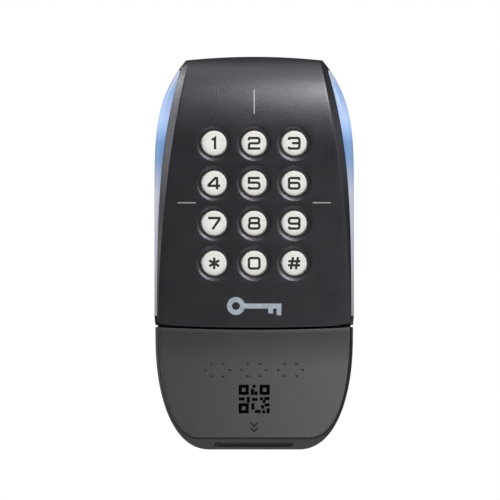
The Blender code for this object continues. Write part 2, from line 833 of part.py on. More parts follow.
def make_window_gasket():
    """A square ring between the window and its opening."""
    bm = bmesh.new()
    centre, run, out = underside_frame()
    rings = []
    for margin, lift in ((GAP, -1.8), (GAP, -0.3), (1.3, -0.3), (1.3, -1.8)):
        ring = []
        for sx, sr in ((-1, -1), (1, -1), (1, 1), (-1, 1)):
            spot = centre + run * (sr * (WINDOW_RUN / 2 - margin)) + out * lift
            ring.append((sx * (WINDOW_HALF - margin), spot.x, spot.y))
        rings.append(ring)
    stack(bm, rings, closed_ends=False)
    return solid("window_gasket", bm, FINISH["rubber"])


def make_scanner_base():
    """The scanner module's rear tray."""
    edge = border(len(LOWER_ACROSS), LOWER_ROWS)

    def ring(depth, inset):
        return [lower_point(i, j, LOWER_OUTER, depth, inset) for i, j in edge]

    bm = bmesh.new()
    stack(bm, [ring(REAR_FACE, 0.6), ring(BASE_FRONT, 0.0), ring(BASE_FRONT, WALL), ring(REAR_INSIDE, WALL)])
    base = solid("scanner_base", bm, FINISH["black_housing"])
    holes = bmesh.new()
    block(holes, (-6.4, 6.4), (1, 8), (3.0, 9.4))
    block(holes, (-6, 6), (7.4, 9.9), (44, 50))
    counterbore = [(HEAD_HOLE, -2), (HEAD_HOLE, 1.3), (SHANK_HOLE, 1.3), (SHANK_HOLE, 3)]
    upright(holes, 0, LOCK_DEPTH, counterbore, 16)
    for x, height in SCANNER_SCREWS:
        turned(holes, x, height, COUNTERBORE, 10)
    for side in (-1, 1):
        upright(holes, side * MODULE_SCREW_X, MODULE_SCREW_DEPTH, [(SHANK_HOLE, 44), (SHANK_HOLE, 50)], 10)
    combine(base, "DIFFERENCE", cutter("base_holes", holes))
    return soften(base, 30)


def make_scanner_board():
    bm = bmesh.new()
    block(bm, (-20, 20), (BOARD_DEPTH, BOARD_FRONT), (14, 43))
    board = solid("scanner_board", bm, FINISH["circuit_board"])
    socket = bmesh.new()
    block(socket, (-6.5, 6.5), (9.3, BOARD_DEPTH + 0.5), (34, 39))
    combine(board, "UNION", cutter("scanner_socket", socket))
    return board


def make_module_ribbon():
    path = [(8.75, 36), (8.75, 63)]
    return make_ribbon("module_ribbon", path, 5)


def make_scanner_engine():
    bm = bmesh.new()
    block(bm, (-11, 11), (BOARD_FRONT + GAP, 35), (12, 26))
    return solid("scanner_engine", bm, FINISH["black_housing"])


def make_scanner_lens():
    bm = bmesh.new()
    upright(bm, 0, OPTICS_DEPTH, [(2.6, 5.6), (3.3, 6.4), (3.3, 12 - GAP)], 20)
    return soften(solid("scanner_lens", bm, FINISH["window"]))


def make_scan_led(name, side):
    bm = bmesh.new()
    upright(bm, side * 8.4, OPTICS_DEPTH, [(1.0, 7.6), (1.6, 8.2), (1.6, 12 - GAP)], 12)
    return soften(solid(name, bm, FINISH["white_plastic"]))


# ------------------------------------------------------------------------------------------- put together

clear_scene()

FINISH = {
    "cutter": material("cutter", (0.5, 0.5, 0.5), 0.5),
    "black_shell": material("black_shell", (0.028, 0.028, 0.031), 0.5),
    "black_housing": material("black_housing", (0.015, 0.015, 0.016), 0.6),
    "dark_cover": material("dark_cover", (0.045, 0.045, 0.045), 0.55),
    "light_guide": material("light_guide", (0.3, 0.45, 0.75), 0.3),
    "keycap": material("keycap", (0.78, 0.77, 0.73), 0.4),
    "silicone": material("silicone", (0.7, 0.7, 0.7), 0.7),
    "rubber": material("rubber", (0.02, 0.02, 0.02), 0.8),
    "circuit_board": material("circuit_board", (0.01, 0.14, 0.05), 0.5),
    "antenna": material("antenna", (0.35, 0.18, 0.06), 0.5),
    "green_plastic": material("green_plastic", (0.05, 0.3, 0.08), 0.5),
    "white_plastic": material("white_plastic", (0.8, 0.8, 0.8), 0.4),
    "ribbon": material("ribbon", (0.6, 0.25, 0.05), 0.5),
    "window": material("window", (0.02, 0.01, 0.012), 0.1),
    "steel": material("steel", (0.6, 0.6, 0.6), 0.3, 1.0),
}
KEYS = key_layout()

make_front_shell()
make_light_guide("light_guide_left", -1)
make_light_guide("light_guide_right", 1)
make_rear_housing()
make_housing_gasket()
for key_name, key_x, key_height in KEYS:
    make_key(key_name, key_x, key_height)
make_keypad_mat()
make_keypad_board()
make_keypad_ribbon()
make_antenna_coil()
make_main_board()
make_terminal_block()
make_buzzer()
make_led_board("led_board_left", -1)
make_led_board("led_board_right", 1)
make_cable_grommet()
make_tamper_plunger()
make_tamper_switch()
make_tamper_spring()
make_wall_plate()
for number, (screw_x, screw_height) in enumerate(HOUSING_SCREWS, 1):
    make_housing_screw(f"housing_screw_{number}", screw_x, screw_height)
make_security_screw()
make_scanner_cover()
make_scanner_window()
make_window_gasket()
make_scanner_base()
make_scanner_board()
make_module_ribbon()
make_scanner_engine()
make_scanner_lens()
for hand, way in (("left", -1), ("right", 1)):
    make_scan_led("scan_led_" + hand, way)
    make_module_screw("module_screw_" + hand, way)
for hand, (screw_x, screw_height) in zip(("left", "right"), SCANNER_SCREWS):
    make_housing_screw("scanner_screw_" + hand, screw_x, screw_height)
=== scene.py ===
"""Looks of the keypad access reader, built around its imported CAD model."""

import math

import bmesh
import bpy
from mathutils import Matrix, Vector


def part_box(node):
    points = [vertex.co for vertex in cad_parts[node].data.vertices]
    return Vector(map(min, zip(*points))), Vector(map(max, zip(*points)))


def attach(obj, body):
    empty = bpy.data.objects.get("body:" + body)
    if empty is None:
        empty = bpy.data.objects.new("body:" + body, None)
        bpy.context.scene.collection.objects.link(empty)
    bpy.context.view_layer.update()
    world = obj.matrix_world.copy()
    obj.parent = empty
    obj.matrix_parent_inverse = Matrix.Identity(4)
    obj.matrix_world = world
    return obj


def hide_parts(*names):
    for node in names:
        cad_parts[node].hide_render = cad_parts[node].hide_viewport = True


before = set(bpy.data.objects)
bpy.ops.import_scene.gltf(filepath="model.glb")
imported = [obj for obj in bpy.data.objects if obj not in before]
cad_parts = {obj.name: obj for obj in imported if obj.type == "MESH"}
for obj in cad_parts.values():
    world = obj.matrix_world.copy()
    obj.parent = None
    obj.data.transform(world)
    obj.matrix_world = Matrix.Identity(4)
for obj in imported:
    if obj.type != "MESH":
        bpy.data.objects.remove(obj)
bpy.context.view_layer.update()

# Lengths below are in millimetres: x from the centre line, depth out from the wall, height up from the
# reader's lowest edge. place() turns them into the frame's metres.
MM = 0.001
MID_HEIGHT = -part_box("scanner_cover")[0].z / MM
SEAM_LOW = 48.0
SEAM_HIGH = 48.75
SEAM_RISE = 1.0
TOP_DROP = 1.5
WIDEST = 39.9
UPPER_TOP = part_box("front_shell")[1].z / MM + MID_HEIGHT
SHOULDER = 122.0
DEPTH_TOP = 14.0
DEPTH_SHOULDER = 33.0
DEPTH_SEAM = 35.0
FACE_CROWN = 2.2
WALL = 2.0
GAP = 0.3
PLATE_THICK = 2.5
REAR_FACE = PLATE_THICK + 0.4
REAR_INSIDE = REAR_FACE + 3.0
BEVEL_DEPTH = 2.5
STRIP_DEPTH = 8.5
STRIP_BOTTOM = 52.5
STRIP_TOP = 152.9
LIP = 0.7
POCKET = 1.5
SKIRT = 3.2
BASE_FRONT = 15.9
COVER_BACK = BASE_FRONT + GAP
UNDERSIDE_BACK = 22.0
UNDERSIDE_EDGE = 4.6
SIDE_BEVEL = 5.0
FACE_SLOPE = 0.231
FLARE_END = 33.0
LOWER_FRONT = ((22.0, UNDERSIDE_EDGE), (33.5, UNDERSIDE_EDGE), (38.1, 22.0), (38.5, 46.0))
LOWER_OUTER = ((18.0, 0.0), (33.0, 0.0), (39.5, 22.0), (39.5, 44.0))
WINDOW_HALF = 15.7
WINDOW_RUN = 8.4
WINDOW_CORNER = 1.6
KEY_NAMES = ("1", "2", "3", "4", "5", "6", "7", "8", "9", "star", "0", "hash")
KEY_RADIUS = 5.05
CAP_RADIUS = KEY_RADIUS - 0.12
CAP_ROUNDING = 0.5
KEY_PROUD = 0.7
STEM_SHORT = 0.58
STEM_RADIUS = 2.5
FLANGE_RADIUS = 6.3
FLANGE_THICK = 0.9
FLANGE_DROP = 3.0


# ---- outlines

def smooth(value):
    """Ease from 0 to 1 as value goes from 0 to 1."""
    value = min(1.0, max(0.0, value))
    return value * value * (3 - 2 * value)


def mix(a, b, part):
    return a + (b - a) * part


def spread(start, end, count):
    """count values from start to end, both included."""
    return [mix(start, end, k / (count - 1)) for k in range(count)]


def silhouette(height):
    """Half-width of the upper reader's outer outline."""
    half = WIDEST - 13.8 * max(0.0, (height - 100) / 57) ** 3.75
    return half - 0.4 * max(0.0, (54 - height) / 4.5) ** 1.5


def rim(height):
    """Half-width at the outer edge of the bevel."""
    half = 38.85 - 8.9 * max(0.0, (height - 50) / 100) ** 3.3
    half -= 1.0 * max(0.0, (53 - height) / 3.8) ** 1.8
    return mix(half, silhouette(height), smooth((height - 151.5) / 2.5))


def face_edge(height):
    """Half-width of the front face, inside the bevel."""
    return 38.4 - 11.7 * ((height - 50) / 104.4) ** 2


def centre_depth(height):
    """How far the front stands out from the wall on the centre line."""
    if height > SHOULDER:
        fall = (height - SHOULDER) / 36.5
        return DEPTH_TOP + (DEPTH_SHOULDER - DEPTH_TOP) * math.sqrt(max(0.0, 1 - fall * fall))
    seam = 50.0
    drop = (SHOULDER - max(height, seam)) / (SHOULDER - seam)
    depth = DEPTH_SHOULDER + (DEPTH_SEAM - DEPTH_SHOULDER) * drop * drop
    if height < seam:
        start = 2 * (DEPTH_SEAM - DEPTH_SHOULDER) / (SHOULDER - seam)
        flare = seam - FLARE_END
        along = min(seam - height, flare)
        depth += start * along + (FACE_SLOPE - start) * along * along / (2 * flare)
        depth += FACE_SLOPE * max(0.0, FLARE_END - height)
    return depth


def face_depth(x, height):
    return centre_depth(height) - FACE_CROWN * (x / 38.7) ** 2


def parting_depth(height):
    return face_depth(face_edge(height), height) - STRIP_DEPTH


def bezier(points, k):
    weights = ((1 - k) ** 3, 3 * (1 - k) ** 2 * k, 3 * (1 - k) * k * k, k ** 3)
    return tuple(sum(w * p[axis] for w, p in zip(weights, points)) for axis in (0, 1))


def place(x, depth, height):
    return Vector((x * MM, -depth * MM, (height - MID_HEIGHT) * MM))


# ---- mesh helpers

def circle(x, height, radius, sides):
    """(x, height) points round a circle."""
    turns = [2 * math.pi * k / sides for k in range(sides)]
    return [(x + radius * math.cos(a), height + radius * math.sin(a)) for a in turns]


class Skin:
    """Collects points in millimetres and faces, then makes a closed object of them."""

    def __init__(self):
        self.bm = bmesh.new()

    def point(self, x, depth, height):
        return self.bm.verts.new(place(x, depth, height))

    def loop(self, points):
        return [self.point(*p) for p in points]

    def bridge(self, loop_a, loop_b):
        count = len(loop_a)
        for k in range(count):
            after = (k + 1) % count
            self.bm.faces.new((loop_a[k], loop_a[after], loop_b[after], loop_b[k]))

    def chain(self, loops):
        for loop_a, loop_b in zip(loops, loops[1:]):
            self.bridge(loop_a, loop_b)

    def tube(self, rings):
        """Skin rings of points and cap both ends."""
        loops = [self.loop(ring) for ring in rings]
        self.chain(loops)
        self.bm.faces.new(loops[0])
        self.bm.faces.new(loops[-1])
        return self

    def hoop(self, rings):
        """Skin rings of points into a closed ring, without caps."""
        loops = [self.loop(ring) for ring in rings]
        self.chain(loops + loops[:1])
        return self

    def turned(self, x, height, profile, sides):
        """Turn a (radius, depth) profile about a line out from the wall. Radius 0 makes a pole."""
        loops, poles = [], []
        for radius, depth in profile:
            if radius == 0:
                poles.append((len(loops), self.point(x, depth, height)))
                continue
            loops.append(self.loop((px, depth, ph) for px, ph in circle(x, height, radius, sides)))
        self.chain(loops)
        for where, pole in poles:
            ring = loops[0] if where == 0 else loops[-1]
            for k in range(sides):
                self.bm.faces.new((ring[k], ring[(k + 1) % sides], pole))
        if not poles or poles[0][0] != 0:
            self.bm.faces.new(loops[0])
        if not any(where for where, _ in poles):
            self.bm.faces.new(loops[-1])
        return self

    def sheet(self, columns, rows, where, no_point=None, no_face=None):
        """A grid of points and faces, with holes where the two tests say so."""
        places = [(i, j) for i in range(columns) for j in range(rows)]
        grid = {(i, j): self.point(*where(i, j)) for i, j in places if not (no_point and no_point(i, j))}
        for i, j in places:
            if i < columns - 1 and j < rows - 1 and not (no_face and no_face(i, j)):
                corners = ((i, j), (i + 1, j), (i + 1, j + 1), (i, j + 1))
                self.bm.faces.new([grid[c] for c in corners])
        return grid

    def slab(self, x_span, depth_span, height_span):
        (left, right), (low, high) = x_span, height_span
        corners = ((left, low), (right, low), (right, high), (left, high))
        return self.tube([[(x, depth, h) for x, h in corners] for depth in depth_span])

    def done(self, name, finish=None, sharp=None):
        """Make the object; sharp is the angle in degrees above which an edge stays crisp."""
        bmesh.ops.recalc_face_normals(self.bm, faces=self.bm.faces)
        mesh = bpy.data.meshes.new(name)
        self.bm.to_mesh(mesh)
        self.bm.free()
        made = bpy.data.objects.new(name, mesh)
        if finish:
            mesh.materials.append(finish)
        bpy.context.scene.collection.objects.link(made)
        mesh.shade_smooth()
        if sharp:
            mesh.set_sharp_from_angle(angle=math.radians(sharp))
        return made

    def fixed(self, name, finish, sharp, slot, *nodes):
        """Make a piece of the housing body."""
        ride_as(self.done(name, FINISH[finish], sharp), "housing", slot, *nodes)


def cut(target, tool, operation="DIFFERENCE"):
    """Apply a Boolean with another object, and remove that object."""
    step = target.modifiers.new("cut", "BOOLEAN")
    step.operation = operation
    step.solver = "EXACT"
    step.object = tool
    view = bpy.context.evaluated_depsgraph_get()
    shaped = bpy.data.meshes.new_from_object(target.evaluated_get(view))
    target.modifiers.clear()
    old, target.data = target.data, shaped
    bpy.data.meshes.remove(old)
    bpy.data.objects.remove(tool)


def joined(pieces):
    """The union of several objects, under the first one's name."""
    whole = pieces[0]
    for piece in pieces[1:]:
        cut(whole, piece, "UNION")
    return whole


def finished(target, tools, sharp, slot, node):
    """Cut the tools out of a fixed piece, keep its edges crisp and put it in its CAD node's place."""
    for tool in tools:
        cut(target, tool)
    target.data.set_sharp_from_angle(angle=math.radians(sharp))
    ride_as(target, "housing", slot, node)


def border(columns, rows):
    """The grid places around the edge of a grid, in order."""
    bottom = [(i, 0) for i in range(columns)]
    right = [(columns - 1, j) for j in range(1, rows)]
    top = [(i, rows - 1) for i in range(columns - 2, -1, -1)]
    left = [(0, j) for j in range(rows - 2, 0, -1)]
    return bottom + right + top + left


def ride_as(piece, body, slot, *nodes):
    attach(piece, body)
    if nodes:
        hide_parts(*nodes)


# ---- finishes

def mapped(tree, source, before=(0.0, 1.0), after=(0.0, 1.0)):
    """A source's value, moved from one span to another."""
    node = tree.nodes.new("ShaderNodeMapRange")
    for label, value in zip(("From Min", "From Max", "To Min", "To Max"), before + after):
        node.inputs[label].default_value = value
    tree.links.new(source, node.inputs["Value"])
    return node.outputs["Result"]


class Nodes:
    """A small helper for a material's nodes."""

    def __init__(self, name):
        self.material = bpy.data.materials.new(name)
        self.material.use_nodes = True
        self.tree = self.material.node_tree
        self.shader = self.tree.nodes["Principled BSDF"]

    def set(self, **values):
        for label, value in values.items():
            socket = self.shader.inputs[label.replace("_", " ")]
            socket.default_value = (*value, 1) if isinstance(value, tuple) else value
        return self

    def add(self, kind, **inputs):
        node = self.tree.nodes.new(kind)
        for label, value in inputs.items():
            node.inputs[label.replace("_", " ")].default_value = value
        return node

    def link(self, source, target):
        self.tree.links.new(source, target)

    def coordinates(self):
        return self.add("ShaderNodeTexCoord").outputs["Object"]

    def noise(self, scale, detail=2.0, roughness=0.5, coordinates=None):
        node = self.add("ShaderNodeTexNoise", Scale=scale, Detail=detail, Roughness=roughness)
        self.link(coordinates or self.coordinates(), node.inputs["Vector"])
        return node.outputs["Fac"]

    def ramp(self, factor, stops):
        node = self.add("ShaderNodeValToRGB")
        elements = node.color_ramp.elements
        while len(elements) < len(stops):
            elements.new(0.5)
        for element, (position, colour) in zip(elements, stops):
            element.position = position
            element.color = (*colour, 1) if isinstance(colour, tuple) else (colour, colour, colour, 1)
        self.link(factor, node.inputs["Fac"])
        return node.outputs["Color"]

    def bump(self, height, strength, distance):
        node = self.add("ShaderNodeBump", Strength=strength, Distance=distance)
        self.link(height, node.inputs["Height"])
        self.link(node.outputs["Normal"], self.shader.inputs["Normal"])


def moulded(name, colour, roughness, grain=0.12, depth=0.00003, specular=0.5, tint=(1, 1, 1)):
    """Moulded plastic: a fine spark-eroded grain, faint mottling and slightly uneven gloss."""
    look = Nodes(name)
    look.set(Specular_IOR_Level=specular, Specular_Tint=tint)
    where = look.coordinates()
    fine = look.noise(2000, 2.0, 0.6, where)
    broad = look.noise(90, 3.0, 0.5, where)
    dark = tuple(c * (1 - grain) for c in colour)
    light = tuple(c * (1 + grain) for c in colour)
    look.link(look.ramp(fine, ((0.3, dark), (0.7, light))), look.shader.inputs["Base Color"])
    gloss = look.ramp(broad, ((0.3, roughness - 0.03), (0.7, roughness + 0.03)))
    look.link(gloss, look.shader.inputs["Roughness"])
    look.bump(fine, 0.35, depth)
    return look.material


def light_guide_finish():
    """Frosted strip lit from behind: grey-lavender low down, blue near the top with a bright pool."""
    look = Nodes("light_guide_lit")
    look.set(Roughness=0.35)
    split = look.add("ShaderNodeSeparateXYZ")
    look.link(look.coordinates(), split.inputs["Vector"])
    up = mapped(look.tree, split.outputs["Z"], (place(0, 0, STRIP_BOTTOM).z, place(0, 0, STRIP_TOP).z))
    stops = (
        (0.02, (0.20, 0.19, 0.20)),
        (0.15, (0.27, 0.27, 0.30)),
        (0.35, (0.37, 0.38, 0.46)),
        (0.50, (0.41, 0.42, 0.52)),
        (0.57, (0.26, 0.32, 0.47)),
        (0.64, (0.11, 0.24, 0.46)),
        (0.70, (0.11, 0.25, 0.51)),
        (0.76, (0.29, 0.45, 0.76)),
        (0.80, (0.37, 0.51, 0.79)),
        (0.90, (0.20, 0.33, 0.60)),
        (0.98, (0.35, 0.39, 0.50)),
    )
    glow = look.ramp(up, stops)
    look.set(Base_Color=(0.05, 0.055, 0.07), Specular_IOR_Level=0.2, Emission_Strength=1.0)
    look.link(glow, look.shader.inputs["Emission Color"])
    return look.material


def keycap_painted_glow_finish():
    """Back-lit silvery-white keycap with a faint brushed speckle: its glow is painted as emission, brightest
    at its middle and darker towards its rim as painted shade of its rounded edge.
    """
    look = Nodes("keycap_painted_glow")
    look.set(Roughness=0.5, Specular_IOR_Level=0.35)
    where = look.coordinates()
    speckle = look.noise(1500, 3.0, 0.7, where)
    tint = look.ramp(speckle, ((0.3, (0.32, 0.315, 0.305)), (0.7, (0.40, 0.395, 0.385))))
    look.link(tint, look.shader.inputs["Base Color"])
    flat = look.add("ShaderNodeVectorMath")
    flat.operation = "MULTIPLY"
    flat.inputs[1].default_value = (1, 0, 1)
    look.link(where, flat.inputs[0])
    reach = look.add("ShaderNodeVectorMath")
    reach.operation = "LENGTH"
    look.link(flat.outputs["Vector"], reach.inputs[0])
    part = mapped(look.tree, reach.outputs["Value"], (0.0, KEY_RADIUS * MM))
    # Emission falls from the middle to the rim: a painted glow, with painted shade of the cap's rounded edge.
    stops = ((0.0, (0.30, 0.295, 0.29)), (0.6, (0.21, 0.203, 0.195)), (1.0, (0.06, 0.052, 0.044)))
    glow = look.ramp(part, stops)
    look.link(glow, look.shader.inputs["Emission Color"])
    look.set(Emission_Strength=0.8)
    look.bump(speckle, 0.2, 0.00003)
    return look.material


def plain(name, colour, roughness, metallic=0.0, scale=600, spread_by=0.1, bump=0.2, specular=0.5):
    """A simple procedural finish for small and inner pieces: mottled colour and a light bump."""
    look = Nodes(name)
    look.set(Specular_IOR_Level=specular, Metallic=metallic, Roughness=roughness)
    mottle = look.noise(scale, 3.0, 0.6)
    dark = tuple(max(0.0, c * (1 - spread_by)) for c in colour)
    light = tuple(min(1.0, c * (1 + spread_by)) for c in colour)
    look.link(look.ramp(mottle, ((0.35, dark), (0.65, light))), look.shader.inputs["Base Color"])
    look.bump(mottle, bump, 0.00004)
    return look.material


FINISH = {
    "shell": moulded("shell_black", (0.0072, 0.0070, 0.0088), 0.37, 0.12, 0.00014, 0.45, (0.93, 0.93, 1)),
    "housing": moulded("housing_black", (0.012, 0.012, 0.0125), 0.55),
    "cover": moulded("cover_charcoal", (0.0100, 0.0100, 0.0100), 0.5, 0.12, 0.00005, 0.42),
    "guide": light_guide_finish(),
    "key": keycap_painted_glow_finish(),
    "legend": plain("legend_ink", (0.016, 0.013, 0.010), 0.5, specular=0.2),
    "silver": plain("silver_print", (0.225, 0.25, 0.29), 0.45, 0.2),
    "mark": plain("mark_print", (0.19, 0.19, 0.19), 0.5),
    "ink": plain("black_ink", (0.001, 0.001, 0.001), 0.6, specular=0.0),
    "window": plain("window_filter", (0.004, 0.003, 0.0035), 0.3, bump=0.0, specular=0.04),
    "rubber": plain("seal_black", (0.014, 0.014, 0.014), 0.75, specular=0.2),
    "silicone": plain("silicone_milk", (0.62, 0.62, 0.6), 0.6),
    "board": plain("solder_mask", (0.012, 0.12, 0.045), 0.4, scale=1200, spread_by=0.25),
    "film": plain("amber_film", (0.5, 0.2, 0.04), 0.35),
    "coil": plain("copper_film", (0.4, 0.2, 0.09), 0.35, 0.4),
    "terminal": plain("terminal_green", (0.04, 0.26, 0.07), 0.45),
    "white": plain("white_mould", (0.75, 0.75, 0.74), 0.4),
    "steel": plain("zinc_steel", (0.56, 0.56, 0.57), 0.32, 1.0),
    "dark_steel": plain("black_steel", (0.03, 0.03, 0.032), 0.4, 1.0),
}


# ---- camera

VIEW_WIDTH = 0.200
CAMERA_X = -0.00168
CAMERA_Z = 0.00125


def make_camera():
    """A level, straight-on view whose sides stay parallel, as through a very long lens."""
    data = bpy.data.cameras.new("camera")
    data.type = "ORTHO"
    data.ortho_scale = VIEW_WIDTH
    camera = bpy.data.objects.new("camera", data)
    camera.location = (CAMERA_X, -1.0, CAMERA_Z)
    camera.rotation_euler = (math.pi / 2, 0, 0)
    bpy.context.scene.collection.objects.link(camera)
    bpy.context.scene.camera = camera


def softbox(name, azimuth, elevation, distance, size, radiance):
    """A rectangular light that faces the reader; azimuth 0 is in front, 90 to the right."""
    data = bpy.data.lights.new(name, "AREA")
    data.shape = "RECTANGLE"
    data.size, data.size_y = size
    data.energy = radiance * math.pi * size[0] * size[1]
    light = bpy.data.objects.new(name, data)
    turn, rise = math.radians(azimuth), math.radians(elevation)
    way = Vector((math.sin(turn) * math.cos(rise), -math.cos(turn) * math.cos(rise), math.sin(rise)))
    light.location = way * distance
    light.rotation_euler = (-way).to_track_quat("-Z", "Y").to_euler()
    bpy.context.scene.collection.objects.link(light)


# Name, azimuth and elevation in degrees, distance and size in metres, radiance.
SOFTBOXES = (
    ("softbox_key", 30, 42, 1.2, (0.8, 0.34), 27.0),
    ("softbox_low", 14, -38, 1.3, (1.0, 0.4), 3.1),
    ("softbox_top", 5, 74, 1.2, (1.2, 0.5), 2.4),
    ("softbox_left", -80, 12, 1.1, (0.4, 0.9), 5.5),
    ("softbox_upper_left", -106, 42, 1.1, (0.6, 0.55), 9.0),
    ("softbox_rear_left", -125, 0, 1.1, (0.5, 1.0), 1.2),
    ("softbox_right", 64, 8, 1.1, (0.6, 0.9), 2.2),
)


def make_studio():
    """Soft boxes, a dim room and a pale floor well below the wall-mounted reader."""
    for box in SOFTBOXES:
        softbox(*box)
    world = bpy.data.worlds.new("studio")
    world.use_nodes = True
    tree = world.node_tree
    room = tree.nodes["Background"]
    room.inputs["Color"].default_value = (1, 1, 1, 1)
    link = tree.links.new
    heading = tree.nodes.new("ShaderNodeTexCoord")
    split = tree.nodes.new("ShaderNodeSeparateXYZ")
    link(heading.outputs["Generated"], split.inputs["Vector"])
    dimmed = tree.nodes.new("ShaderNodeMath")
    dimmed.operation = "MULTIPLY"
    link(mapped(tree, split.outputs["Z"], (-0.3, 0.3), (0.06, 0.3)), dimmed.inputs[0])
    link(mapped(tree, split.outputs["Y"], (-0.2, 0.7), (1.0, 0.25)), dimmed.inputs[1])
    link(dimmed.outputs["Value"], room.inputs["Strength"])
    seen = tree.nodes.new("ShaderNodeBackground")
    seen.inputs["Color"].default_value = (1, 1, 1, 1)
    rays = tree.nodes.new("ShaderNodeLightPath")
    blend = tree.nodes.new("ShaderNodeMixShader")
    link(rays.outputs["Is Camera Ray"], blend.inputs["Fac"])
    link(room.outputs["Background"], blend.inputs[1])
    link(seen.outputs["Background"], blend.inputs[2])
    link(blend.outputs["Shader"], tree.nodes["World Output"].inputs["Surface"])
    bpy.context.scene.world = world
    bpy.context.scene.view_settings.view_transform = "Standard"
    floor_mesh = bpy.data.meshes.new("floor")
    bm = bmesh.new()
    bmesh.ops.create_grid(bm, x_segments=1, y_segments=1, size=6.0)
    bm.to_mesh(floor_mesh)
    bm.free()
    floor = bpy.data.objects.new("floor", floor_mesh)
    floor.location = (0, 0, -1.4)
    floor_mesh.materials.append(plain("pale_floor", (0.82, 0.82, 0.82), 0.8, scale=20, spread_by=0.02))
    bpy.context.scene.collection.objects.link(floor)


# ---- the keys' cells

def centre_of(node):
    """A CAD node's x and height, from its box."""
    low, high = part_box(node)
    middle = (low + high) / 2
    return middle.x / MM, middle.z / MM + MID_HEIGHT


KEYS = {name: centre_of("key_" + name) for name in KEY_NAMES}
PITCH = KEYS["2"][0] - KEYS["1"][0]
CELL_STEPS = 12
CELL_LOW = KEYS["0"][1] - PITCH / 2
CELL_HIGH = KEYS["2"][1] + PITCH / 2
CELL_SIDE = 1.5 * PITCH
# A key hole's dished edge, as (radius, drop) pairs.
DISH = (
    (7.2, 0.0), (7.04, 0.02), (6.9, 0.07), (6.7, 0.17), (6.4, 0.33), (6.05, 0.52), (5.75, 0.68), (5.52, 0.82),
    (5.4, 1.0), (5.36, 1.6),
)


# ---- the upper shell

SIDE_STEPS = 6
UPPER_ROWS = (
    [SEAM_HIGH, 49.8, 50.8, STRIP_BOTTOM - 0.6, STRIP_BOTTOM]
    + spread(54.5, CELL_LOW, 8)
    + spread(CELL_LOW, CELL_HIGH, 4 * CELL_STEPS + 1)[1:]
    + spread(CELL_HIGH, STRIP_TOP, 16)[1:]
    + spread(STRIP_TOP, UPPER_TOP, 8)[1:]
)
CELL_ROW = UPPER_ROWS.index(STRIP_BOTTOM) + 8
CELL_COLUMNS = 3 * CELL_STEPS
UPPER_COLUMNS = CELL_COLUMNS + 1 + 2 * SIDE_STEPS


def upper_line(i, half):
    """x of a grid column: even between the key cells' sides, stretched to the edge outside them."""
    inside = i - SIDE_STEPS
    if 0 <= inside <= CELL_COLUMNS:
        return mix(-CELL_SIDE, CELL_SIDE, inside / CELL_COLUMNS) * min(1.0, half / (CELL_SIDE + 0.8))
    side = -1 if inside < 0 else 1
    beyond = -inside if inside < 0 else inside - CELL_COLUMNS
    start = CELL_SIDE * min(1.0, half / (CELL_SIDE + 0.8))
    return side * mix(start, half, beyond / SIDE_STEPS)


def end_curve(height):
    """How far a row's ends stand above its middle: the seam curves up and the top curves down."""
    return SEAM_RISE * max(0.0, (70 - height) / 20.8) ** 2 - TOP_DROP * max(0.0, (height - 130) / 27.5) ** 2


def upper_place(i, j, half_width, inset=0.0, end_inset=0.0):
    """x and height of a grid place of the upper reader; an end inset fades out within 12 mm."""
    row = UPPER_ROWS[j]
    height = row + end_inset * (max(0.0, 1 - (row - SEAM_HIGH) / 12) - max(0.0, 1 - (UPPER_TOP - row) / 12))
    shift = end_curve(height)
    half = half_width(height + shift) - inset
    x = upper_line(i, half)
    return x, height + shift * (x / half) ** 2


def bevel_point(i, j, part, drop, inset=0.0, end_inset=0.0, depth=None):
    """A point beside the face: part runs 0 to 1 from the face's edge to the rim, drop is how far back."""
    def half_width(height):
        return mix(face_edge(height), rim(height), part)
    x, height = upper_place(i, j, half_width, inset, mix(0.6, 0.0, part) + end_inset)
    if depth is None:
        if j == 0 and part < 1:
            drop *= mix(1.0, 0.15, smooth((half_width(height) - abs(x)) / 3))
        depth = mix(face_depth(x, height), face_depth(x, UPPER_ROWS[j]), part) - drop
    return (x, depth, height)


